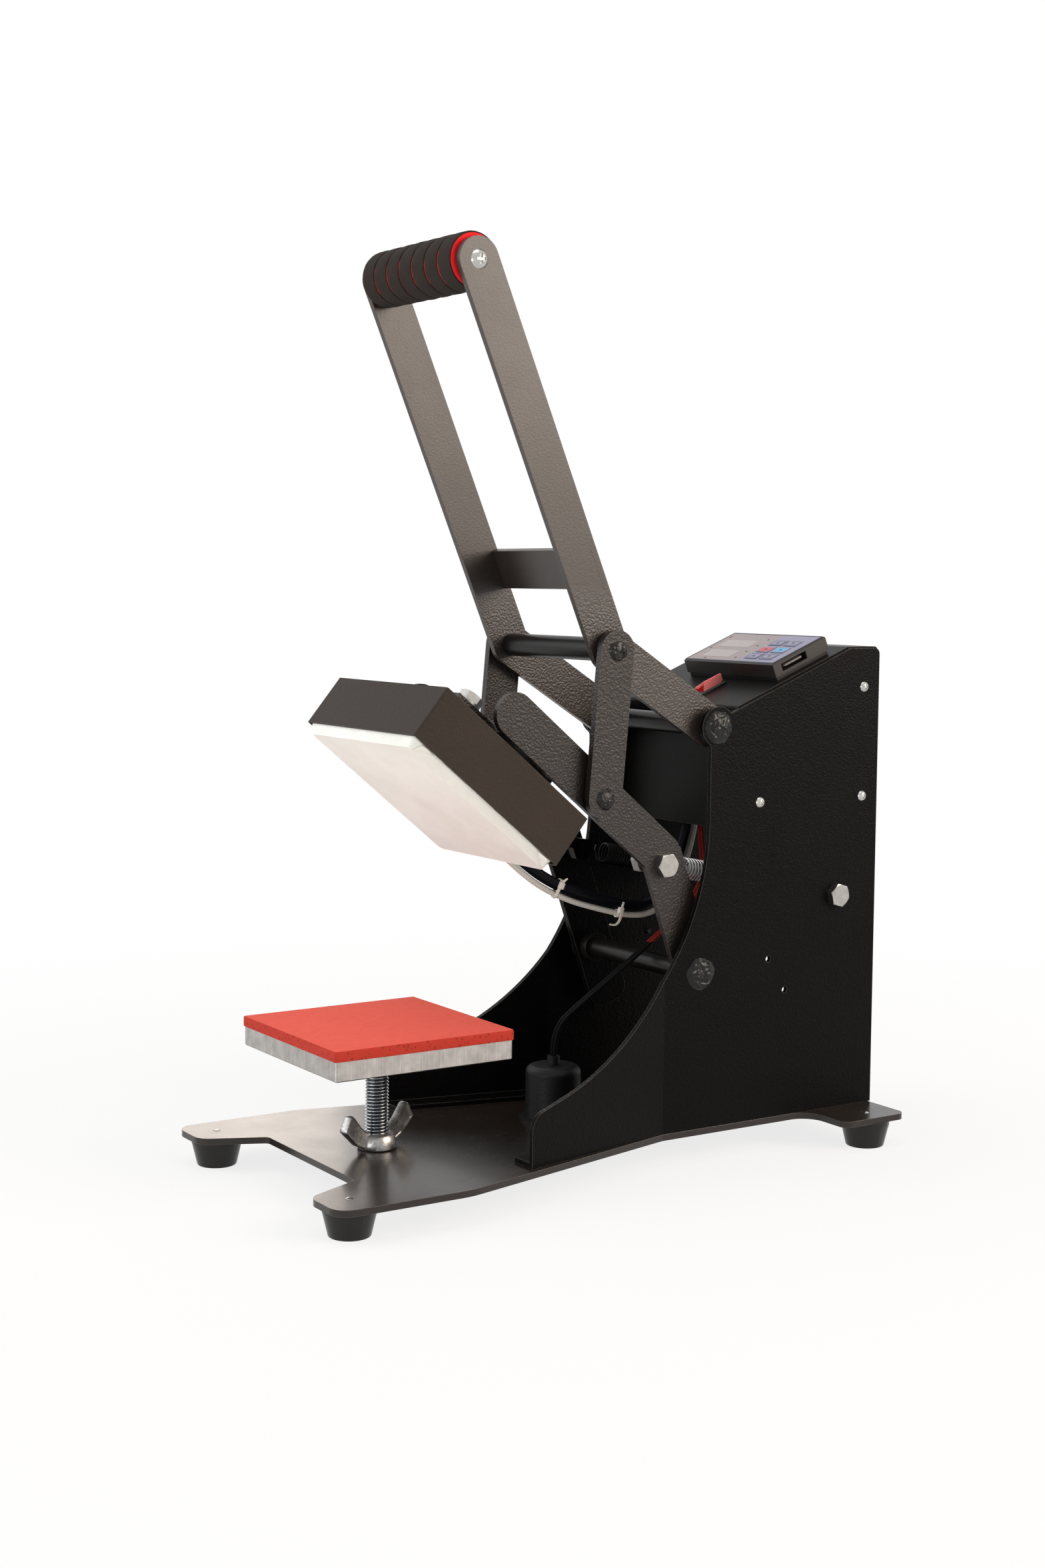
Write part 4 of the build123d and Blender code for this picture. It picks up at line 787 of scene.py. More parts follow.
def frames_along(path: Sequence[Vector]) -> list[tuple[Vector, Vector]]:
    """Carry two square directions along a path without twist.

    Args:
        path: Points in order.

    Returns:
        A normal and a binormal for each point.
    """
    last = len(path) - 1
    tangents = [(path[min(i + 1, last)] - path[max(i - 1, 0)]).normalized() for i in range(last + 1)]
    start = Vector((1, 0, 0)) if abs(tangents[0].x) < 0.9 else Vector((0, 0, 1))
    normal = (start - tangents[0] * start.dot(tangents[0])).normalized()
    frames = []
    for tangent in tangents:
        normal = (normal - tangent * normal.dot(tangent)).normalized()
        frames.append((normal, tangent.cross(normal)))
    return frames


def tube_shape(path: Sequence[Vector], radius: float, sides: int) -> Shape:
    """A plain round tube along a path.

    Args:
        path: Points in millimetres.
        radius: Its radius.
        sides: Points round it.

    Returns:
        The closed shape.
    """
    rows = [
        [point + (normal * cos(t) + binormal * sin(t)) * radius for t in turns(sides)]
        for point, (normal, binormal) in zip(path, frames_along(path))
    ]
    return Shape.sheet(rows, round_columns=True, caps=True)


def turned_shape(profile: Profile, sides: int, closed: bool = False) -> Shape:
    """Turn a profile of (radius, height) round the Z axis.

    Args:
        profile: Its points in order.
        sides: Points round the axis.
        closed: Join the profile's end to its start.

    Returns:
        The turned shape, with end faces unless it is closed.
    """
    rows = [[Vector((r * cos(t), r * sin(t), z)) for t in turns(sides)] for r, z in profile]
    return Shape.sheet(rows, round_rows=closed, round_columns=True, caps=not closed)


def rounded_loop(width: float, depth: float, radius: float, per_side: int, per_corner: int = 6) -> Profile:
    """Points round a rectangle with round corners, from its front right corner on.

    Args:
        width: Size along X.
        depth: Size along Y.
        radius: Corner radius.
        per_side: Points on each straight side.
        per_corner: Points on each corner's arc.

    Returns:
        (x, y) pairs about the middle, anticlockwise.
    """
    half_x, half_y = width / 2 - radius, depth / 2 - radius
    corners = ((1, -1), (1, 1), (-1, 1), (-1, -1))
    loop: Profile = []
    for number, (sx, sy) in enumerate(corners):
        arc = [radians(-90 + 90 * number + 90 * i / per_corner) for i in range(per_corner + 1)]
        loop += [(sx * half_x + radius * cos(turn), sy * half_y + radius * sin(turn)) for turn in arc]
        end_x, end_y = corners[(number + 1) % 4]
        last = radians(90 * number)
        start = (sx * half_x + radius * cos(last), sy * half_y + radius * sin(last))
        stop = (end_x * half_x + radius * cos(last), end_y * half_y + radius * sin(last))
        for i in range(1, per_side):
            f = i / per_side
            loop.append((start[0] + (stop[0] - start[0]) * f, start[1] + (stop[1] - start[1]) * f))
    return loop


def extruded_shape(outline: Profile, low: float, high: float) -> Shape:
    """Stand a flat outline up between two heights."""
    rows = [[Vector((x, y, z)) for x, y in outline] for z in (low, high)]
    return Shape.sheet(rows, round_columns=True, caps=True)


def smooth_outline(corners: Sequence[Triple], steps: int = 6) -> Profile:
    """Round each corner of an outline by its own radius.

    Args:
        corners: (u, v, radius) in order.
        steps: Points on each arc.

    Returns:
        The outline's (u, v) points.
    """
    outline: Profile = []
    for i, (u, v, radius) in enumerate(corners):
        here = Vector((u, v))
        before = Vector(corners[i - 1][:2]) - here
        after = Vector(corners[(i + 1) % len(corners)][:2]) - here
        if radius <= 0:
            outline.append((u, v))
            continue
        reach = min(radius / tan(before.angle(after) / 2), 0.45 * before.length, 0.45 * after.length)
        a, b = here + before.normalized() * reach, here + after.normalized() * reach
        for k in range(steps + 1):
            f = k / steps
            p = a * (1 - f) ** 2 + here * 2 * f * (1 - f) + b * f**2
            outline.append((p.x, p.y))
    return outline


# The press


@dataclass(frozen=True)
class Mechanism:
    """Pivots and places that several assemblies share, as (y, z) points."""

    arm_pivot: Pair = (83.5, 149.5)
    lever_pivot: Pair = (98.0, 341.5)
    knee: Pair = (2.24, 402.24)
    grip: Pair = (-115.09, 681.17)
    link_pin: Pair = (-7.92, 290.65)
    arm_bolt: Pair = (55.26, 235.72)
    rear_bolt: Pair = (220.0, 201.9)
    head_tilt: float = 39.7
    platen_y: float = -158.5
    deck_z: float = 26.3
    plate_outer: float = 83.0
    link_outer: float = 81.7
    lever_inner: float = 66.7

    def opened(self) -> Matrix:
        """The turn that lifts the head from the pad to where it is stored."""
        move = Matrix.Translation((0, *self.arm_pivot))
        return move @ Matrix.Rotation(radians(-self.head_tilt), 4, "X") @ move.inverted()


PRESS = Mechanism()


@dataclass
class Platen:
    """Sponge pad, threaded height screw and wing nut.

    The pad's foot and crown are (inset, rise) pairs, its waves (length, height) pairs, and the
    wing's layers (share of its outline, how far the layer sinks) from its middle to its rim.
    """

    pad_size: float = 150.0
    pad_thickness: float = 8.0
    pad_low: float = 114.1
    pad_corner: float = 1.5
    pad_steps: int = 6
    pad_foot: tuple[Pair, ...] = ((1.2, 0.0), (0.3, 0.15))
    pad_crown: tuple[Pair, ...] = ((0.35, -0.1), (1.4, 0.0), (20.0, 0.12), (50.0, 0.15))
    pad_waves: tuple[Pair, ...] = ((3.1, 0.22), (11.0, 0.2))
    screw_radius: float = 9.0
    screw_low: float = 7.8
    screw_high: float = 107.4
    screw_sides: int = 40
    thread_depth: float = 1.45
    thread_pitch: float = 2.5
    thread_steps: int = 10
    lead_in: float = 1.5
    lead_in_depth: float = 1.2
    hub_radius: float = 15.0
    hub_top: float = 12.5
    hub_height: float = 12.0
    hub_clearance: float = 0.15
    wing_half_span: float = 37.0
    wing_height: float = 33.0
    wing_thickness: float = 5.6
    wing_turn: float = -73.0
    wing_middle: Pair = (23.5, 16.0)
    wing_layers: tuple[Pair, ...] = ((0.72, 0.7), (0.8, 0.6), (0.85, 0.0), (0.95, 0.0), (1.0, 0.9))
    cast_wave: float = 4.0
    cast_unevenness: float = 0.2

    def pad(self) -> None:
        """Sponge pad with uneven sawn sides and a slightly crowned top."""
        levels = list(self.pad_foot)
        levels += [(0.0, self.pad_thickness * k / self.pad_steps) for k in range(1, self.pad_steps)]
        levels += [(inset, self.pad_thickness + rise) for inset, rise in self.pad_crown]
        rows: list[Row] = []
        for inset, height in levels:
            size = self.pad_size - 2 * inset
            row = []
            for x, y in rounded_loop(size, size, self.pad_corner, 56, 4):
                p = Vector((x, y + PRESS.platen_y, self.pad_low + height))
                if inset < 1.0:
                    push = sum(noise.noise(p / length) * tall for length, tall in self.pad_waves)
                    p -= Vector((x, y, 0)).normalized() * (abs(push) + 0.02)
                row.append(p)
            rows.append(row)
        shape = Shape.sheet(rows, round_columns=True, caps=True)
        piece = add_piece("sponge_pad", shape, SPONGE, Body.PLATEN, Slot.SILICONE, ["silicone_pad"])

    def screw(self) -> None:
        """Height screw with its rolled thread."""
        count = int((self.screw_high - self.screw_low) / self.thread_pitch * self.thread_steps)
        rows, tones = [], []
        for i in range(count + 1):
            z = self.screw_low + i * self.thread_pitch / self.thread_steps
            taper = min(1.0, (z - self.screw_low) / self.lead_in)
            row = []
            for j, turn in enumerate(turns(self.screw_sides)):
                phase = (z / self.thread_pitch - j / self.screw_sides) % 1.0
                depth = min(1.0, max(0.0, abs(2 * phase - 1) * 1.5 - 0.25))
                # Low tone in the thread's roots: painted shade
                tones.append(1 - depth)
                radius = self.screw_radius - depth * self.thread_depth - (1 - taper) * self.lead_in_depth
                row.append(Vector((radius * cos(turn), radius * sin(turn) + PRESS.platen_y, z)))
            rows.append(row)
        shape = Shape.sheet(rows, tones, round_columns=True, caps=True)
        add_piece("threaded_screw", shape, THREAD, Body.PLATEN, Slot.ZINC, ["platen_screw"], sharp=50)

    def wing(self) -> Shape:
        """One square-tipped wing, thicker towards its tip, with a raised rim.

        Returns:
            The wing along +X, standing on z = 0.
        """
        outline = smooth_outline((
            (9.0, 1.0, 0.0), (14.5, 1.2, 2.0), (24.0, 6.0, 9.0), (self.wing_half_span, 18.5, 3.0),
            (30.0, self.wing_height - 1.5, 3.0), (19.0, 19.0, 9.0), (9.0, 11.5, 0.0),
        ), 8)
        middle = Vector(self.wing_middle)
        rows = []
        for side, layers in ((-1, self.wing_layers), (1, self.wing_layers[::-1])):
            for scale, sink in layers:
                row = []
                for u, v in outline:
                    spot = middle + (Vector((u, v)) - middle) * scale
                    half = self.wing_thickness / 2 + 1.1 * (spot.x - 12) / 25 - sink
                    row.append(Vector((spot.x, side * half, spot.y)))
                rows.append(row)
        return Shape.sheet(rows, round_columns=True, caps=True)

    def wing_nut(self) -> None:
        """Cast wing nut: turned hub, bore and two wings swept up."""
        bore, top = self.screw_radius + self.hub_clearance, self.hub_height
        shape = turned_shape([
            (bore, 0.0), (self.hub_radius - 0.8, 0.0), (self.hub_radius, 0.8), (self.hub_radius, 4.2),
            (self.hub_radius - 0.7, 7.0), (self.hub_top + 0.5, 10.2), (self.hub_top - 0.8, top - 0.4),
            (self.hub_top - 1.8, top), (bore + 0.6, top), (bore, top - 0.6),
        ], 48, closed=True)
        for side in (0.0, pi):
            shape.join(self.wing().moved(Matrix.Rotation(side, 4, "Z")))
        for point in shape.points:
            bulge = noise.noise(Vector(point) / self.cast_wave) * self.cast_unevenness
            point += Vector(point).normalized() * bulge
            point.z = max(point.z, 0.0)
        place = Matrix.Translation((0, PRESS.platen_y, PRESS.deck_z + 0.2))
        place = place @ Matrix.Rotation(radians(self.wing_turn), 4, "Z")
        add_piece("cast_wing_nut", shape.moved(place), CAST, Body.WING_NUT, Slot.ZINC, ["wing_nut"], sharp=45)

    def build(self) -> None:
        """Build the pad, the screw and the nut."""
        self.pad()
        self.screw()
        self.wing_nut()


@dataclass
class HeaterCloth:
    """Fitted cloth over the heater, drawn lying flat over the pad and swung open."""

    face: float = 150.0
    face_z: float = 128.0
    face_corner: float = 4.0
    face_insets: tuple[float, ...] = (74.0, 50.0, 25.0, 10.0, 3.0, 1.2)
    mouth_z: float = 134.5
    mouth_width: float = 160.8
    mouth_front: float = -237.2
    mouth_rear: float = -84.0
    mouth_corner: float = 5.0
    skirt_levels: tuple[float, ...] = (0.0, 0.12, 0.28, 0.45, 0.62, 0.8, 1.0)
    tuck: float = 4.0
    thickness: float = 0.5
    per_side: int = 60
    wrinkle: float = 0.55
    wrinkle_right: float = 1.5
    wrinkle_elsewhere: float = 0.7
    ripple_length: float = 9.0
    fine_length: float = 4.0
    fine_share: float = 0.6
    fold_start: Pair = (1.0, 2.0)
    fold_length: float = 12.0
    fold_lift: float = 0.9
    flat_size: Pair = (176.0, 173.0)

    def ring(self, t: float, inset: float = 0.0) -> Row:
        """One loop of the skirt, from its lower fold at 0 to the box's mouth at 1.

        Args:
            t: How far up the skirt.
            inset: How far in from the lower fold, for loops of the flat face.

        Returns:
            The loop's points.
        """
        size = self.face - 2 * inset
        low = rounded_loop(size, size, max(1.0, self.face_corner - inset), self.per_side)
        depth = self.mouth_rear - self.mouth_front
        high = rounded_loop(self.mouth_width, depth, self.mouth_corner, self.per_side)
        middle = (self.mouth_front + self.mouth_rear) / 2
        swell = self.wrinkle * sin(pi * min(1.0, max(0.0, t)))
        broad, fine = self.ripple_length, self.fine_length
        row = []
        for (x0, y0), (x1, y1) in zip(low, high):
            x = x0 + (x1 - x0) * t
            y = y0 + PRESS.platen_y + (y1 + middle - y0 - PRESS.platen_y) * t
            z = self.face_z + (self.mouth_z - self.face_z) * t
            ripple = noise.noise(Vector((x / broad, y / broad, t * 1.2)))
            ripple += self.fine_share * noise.noise(Vector((x / fine, y / fine, 5.0)))
            amount = swell * (self.wrinkle_right if x0 > 70 else self.wrinkle_elsewhere)
            row.append(Vector((x, y, z)) + Vector((x0, y0, 0)).normalized() * (ripple * amount - 0.2))
        return row

    def corner_fold(self, y: float, inward: float) -> Shape:
        """A folded-over triangle of cloth at a right-hand corner.

        Args:
            y: The corner's place along the right side.
            inward: Which way the fold runs along that side, 1 or -1.

        Returns:
            The fold, lying just outside the skirt.
        """
        start, spread = self.fold_start
        rows = []
        for i in range(7):
            f = i / 6
            up = 0.04 + 0.92 * f
            x = self.face / 2 + (self.mouth_width - self.face) / 2 * up + 0.25
            z = self.face_z + (self.mouth_z - self.face_z) * up
            row = []
            for k in range(9):
                g = k / 8
                along = start + (spread + self.fold_length * g) * f
                lift = self.fold_lift * sin(pi * min(1.0, 0.15 + g * 0.85)) * (0.35 + 0.65 * f)
                row.append(Vector((x + lift, y + inward * along, z)))
            rows.append(row)
        return Shape.sheet(rows)

    def build(self) -> None:
        """Sew the flat face, the skirt and the corner folds into one sheet."""
        rows = [self.ring(0.0, inset) for inset in self.face_insets]
        for p in (p for row in rows for p in row):
            p.z += 0.12 * noise.noise(p / 22.0) + 0.1
        rows += [self.ring(t) for t in self.skirt_levels]
        rows.append([p + Vector((0, 0, self.tuck)) for p in rows[-1]])
        shape = Shape.sheet(rows, round_columns=True)
        shape.faces.append(tuple(range(len(rows[0]))))
        for way in (1.0, -1.0):
            shape.join(self.corner_fold(PRESS.platen_y - way * (self.face / 2 - 2.0), way))
        shape = shape.moved(PRESS.opened())
        piece = add_piece("fitted_cloth", shape, CLOTH, Body.HEAD, Slot.CLOTH, ["heater_cloth"])
        thick = piece.modifiers.new("cloth", "SOLIDIFY")
        thick.thickness = self.thickness * MM
        thick.offset = -1.0
        width, length = self.flat_size


@dataclass
class Grip:
    """Two layers of foam on the lever's cross rod, the outer one uneven by (length, height) waves."""

    foam_waves: tuple[Pair, ...] = ((6.0, 0.28), (1.7, 0.1))
    radius: float = 20.8
    core_radius: float = 18.4
    rod_radius: float = 10.1
    end_gap: float = 2.6
    flare: float = 1.1
    rings: int = 7
    groove: float = 1.45
    groove_depth: float = 0.95
    overlap: float = 0.3
    edge: float = 0.7
    belly: float = 0.35
    sides: int = 72

    def along_x(self, profile: Profile, start: float) -> Shape:
        """Turn a closed profile and lay it along X, from a starting place on the rod."""
        lay = Matrix.Translation((start, *PRESS.grip)) @ Matrix.Rotation(radians(90), 4, "Y")
        return turned_shape(profile, self.sides, closed=True).moved(lay)

    def ring_profile(self, length: float) -> Profile:
        """One ring's section: rounded shoulders and a slight belly.

        Args:
            length: The ring's length along the rod.

        Returns:
            (radius, place) pairs from its start to its end.
        """
        inner = self.core_radius - 0.25
        arc = [radians(90 * k / 5) for k in range(6)]
        shoulder = [(self.radius - self.edge * (1 - sin(t)), self.edge * (1 - cos(t))) for t in arc]
        middle = [(self.radius + self.belly * sin(pi * f), length * f) for f in (0.25, 0.5, 0.75)]
        far = [(r, length - z) for r, z in reversed(shoulder)]
        return [(inner, 0.1), *shoulder, *middle, *far, (inner, length - 0.1)]

    def build(self) -> None:
        """Build the grooved outer layer and the red layer below it."""
        half = PRESS.lever_inner - self.end_gap
        pitch = (2 * half + self.groove) / self.rings
        outer = Shape()
        for number in range(self.rings):
            outer.join(self.along_x(self.ring_profile(pitch - self.groove), -half + number * pitch))
        y, z = PRESS.grip
        for p in outer.points:
            out = Vector((0, p.y - y, p.z - z)).normalized()
            p += out * sum(noise.noise(p / length) * tall for length, tall in self.foam_waves)
        foam = add_piece(
            "grip_outer_foam", outer, FOAM, Body.LEVER, Slot.FOAM, ["grip_foam"], sharp=70
        )
        length, rod, skin = 2 * half, self.rod_radius, self.core_radius
        core = self.along_x([
            (rod, 0.5), (rod + 1.5, 0.0), (skin - 1.4, -0.5), (skin + self.flare - 0.3, -0.45),
            (skin + self.flare, 0.0), (skin, 1.2), (skin, length - 1.2), (skin + self.flare, length),
            (skin + self.flare - 0.3, length + 0.45), (skin - 1.4, length + 0.5), (rod + 1.5, length),
            (rod, length - 0.5),
        ], -half)
        low, floor = skin - 0.5, self.radius - self.groove_depth
        start, stop = -self.overlap, self.groove + self.overlap
        for number in range(1, self.rings):
            band = [(low, start), (floor, start), (floor, stop), (low, stop)]
            core.join(self.along_x(band, -half + number * pitch - self.groove))
        inner = add_piece(
            "grip_inner_foam", core, CORE, Body.LEVER, Slot.FOAM_CORE, ["grip_core"], sharp=70
        )


@dataclass
class ReturnSprings:
    """Two extension springs from the head's arms to the rear bolts."""

    spread: float = 54.0
    wire: float = 1.0
    wire_sides: int = 8
    coil: float = 8.0
    pitch: float = 3.0
    turns: int = 26
    hook: float = 6.3
    front_lead: float = 30.0
    bend: float = 7.0
    per_turn: int = 22

    def hook_arc(self, x: float, angles: Iterable[int]) -> Row:
        """Points round a bolt at x, at angles in degrees."""
        arc = [radians(angle) for angle in angles]
        return [Vector((x + self.hook * cos(turn), self.hook * sin(turn), 0)) for turn in arc]

    def step_off(self, x: float, start: Pair, change: Pair) -> Row:
        """The bend between a straight end and the coils.

        Args:
            x: Where it starts.
            start: Its first angle and radius.
            change: What each grows by.

        Returns:
            Its points, without the first and the last.
        """
        steps = self.per_turn // 2
        row = []
        for k in range(1, steps):
            f = k / steps
            turn, radius = (s + c * eased(f) for s, c in zip(start, change))
            row.append(Vector((x + self.bend * f, radius * cos(turn), radius * sin(turn))))
        return row

    def path(self) -> Row:
        """The wire's line for a spring along +X, hooked round a bolt at each end.

        Returns:
            Its points, x along the spring.
        """
        length = (Vector(PRESS.rear_bolt) - Vector(PRESS.arm_bolt)).length
        coils_from = self.front_lead - self.bend
        points = self.hook_arc(0.0, range(-110, -271, -10))
        points += [Vector((x, self.hook, 0)) for x in (6, 12, 18, coils_from)]
        points += self.step_off(coils_from, (0.0, self.hook), (pi * 0.5, self.coil - self.hook))
        for k in range(self.turns * self.per_turn - self.per_turn // 4 + 1):
            turn = pi * 0.5 + tau * k / self.per_turn
            x = self.front_lead + self.pitch * k / self.per_turn
            points.append(Vector((x, self.coil * cos(turn), self.coil * sin(turn))))
        last = points[-1].x
        angle = atan2(points[-1].z, points[-1].y) % tau
        rest = tau - angle if angle > 0.1 else 0.0
        points += self.step_off(last, (angle, self.coil), (rest, self.hook - self.coil))
        tail = last + self.bend
        points += [Vector((tail + (length - tail) * f, self.hook, 0)) for f in (0.05, 0.35, 0.65, 1.0)]
        return points + self.hook_arc(length, range(80, -71, -10))

    def build(self) -> None:
        """Wind both springs from the arms' bolts to the rear bolts."""
        front, rear = Vector(PRESS.arm_bolt), Vector(PRESS.rear_bolt)
        along = Vector((0, *(rear - front).normalized()))
        up = Vector((1, 0, 0)).cross(along)
        # The far spring takes the near-black wire as painted shade
        for side, name, finish in ((1, "right", WIRE), (-1, "left", DARK_WIRE)):
            origin = Vector((side * self.spread, *front))
            path = [origin + along * p.x + up * p.y + Vector((side * p.z, 0, 0)) for p in self.path()]
            shape = tube_shape(path, self.wire, self.wire_sides)
            piece = add_piece(
                f"wound_spring_{name}", shape, finish, None, Slot.ZINC, [f"return_spring_{name}"], sharp=60
            )
            blend_head_to_frame(piece, origin, Vector((origin.x, *rear)))


@dataclass
class Cord:
    """One free cord: the part's own route points as a smooth spline."""

    name: str
    route: list[Triple]
    radius: float
    finish: Finish
    slot: Slot
    node: str
    stiffness: Stiffness = Stiffness.MEDIUM
    braided: bool = False
    # Height below which the cord takes its finish's dark colour as painted shade
    shade_painted_below: float = 0.0
    sides: int = 24
    braid_sides: int = 40
    braid_strands: int = 8
    braid_lay: float = 15.0
    braid_step: float = 0.42
    braid_height: float = 0.3

    def spline_points(self) -> Row:
        """Read the cord's line from a curve with no bevel.

        Returns:
            Its points in millimetres.
        """
        curve = bpy.data.curves.new(self.name + "_line", "CURVE")
        curve.dimensions = "3D"
        curve.resolution_u = 24
        spline = curve.splines.new("NURBS")
        spline.points.add(len(self.route) - 1)
        for point, place in zip(spline.points, self.route):
            point.co = (*(c * MM for c in place), 1.0)
        spline.order_u = 3
        spline.use_endpoint_u = True
        line = bpy.data.objects.new(self.name + "_line", curve)
        mesh = bpy.data.meshes.new_from_object(line)
        points = [v.co.copy() / MM for v in mesh.vertices]
        bpy.data.objects.remove(line)
        bpy.data.meshes.remove(mesh)
        return points

    def braid(self, path: Sequence[Vector]) -> Shape:
        """A tube raised by two crossing sets of strands.

        Args:
            path: The cord's line.

        Returns:
            The tube, toned by how deep each point lies.
        """
        dense = [path[0]]
        for a, b in zip(path, path[1:]):
            steps = max(1, round((b - a).length / self.braid_step))
            dense += [a.lerp(b, k / steps) for k in range(1, steps + 1)]
        distance, rows, tones = 0.0, [], []
        for i, (point, (normal, binormal)) in enumerate(zip(dense, frames_along(dense))):
            distance += (point - dense[i - 1]).length if i else 0.0
            twist = tau * distance / self.braid_lay * self.braid_strands
            row = []
            for turn in turns(self.braid_sides):
                strand = self.braid_strands * turn
                # The tone raises each strand and, through the finish, darkens the hollows as painted shade
                tone = min(1.0, max(0.0, 0.5 + 0.5 * max(cos(strand + twist), cos(strand - twist))))
                radius = self.radius - self.braid_height + self.braid_height * tone
                row.append(point + (normal * cos(turn) + binormal * sin(turn)) * radius)
                tones.append(tone)
            rows.append(row)
        return Shape.sheet(rows, tones, round_columns=True, caps=True)

    def build(
        self, blended: tuple[Vector, Vector] | None = None, with_pieces: Iterable[bpy.types.Object] = ()
    ) -> None:
        """Args:
            blended: Two places handed to blend_head_to_frame, or None to put it on the frame.
            with_pieces: Not used.
        """
        path = self.spline_points()
        shape = self.braid(path) if self.braided else tube_shape(path, self.radius, self.sides)
        # Below that height the cord takes its finish's dark colour as painted shade
        if self.shade_painted_below:
            shape.tones = [1.0 if p.z > self.shade_painted_below else 0.0 for p in shape.points]
        rides = None if blended else Body.FRAME
        nodes = [self.node] if self.node else []
        piece = add_piece(self.name, shape, self.finish, rides, self.slot, nodes)
        if blended:
            blend_head_to_frame(piece, *blended)
        length = sum((b - a).length for a, b in zip(path, path[1:]))
        tuple(c * MM for c in self.route[0])
        log.info("%s is %.0f mm long", self.name, length)


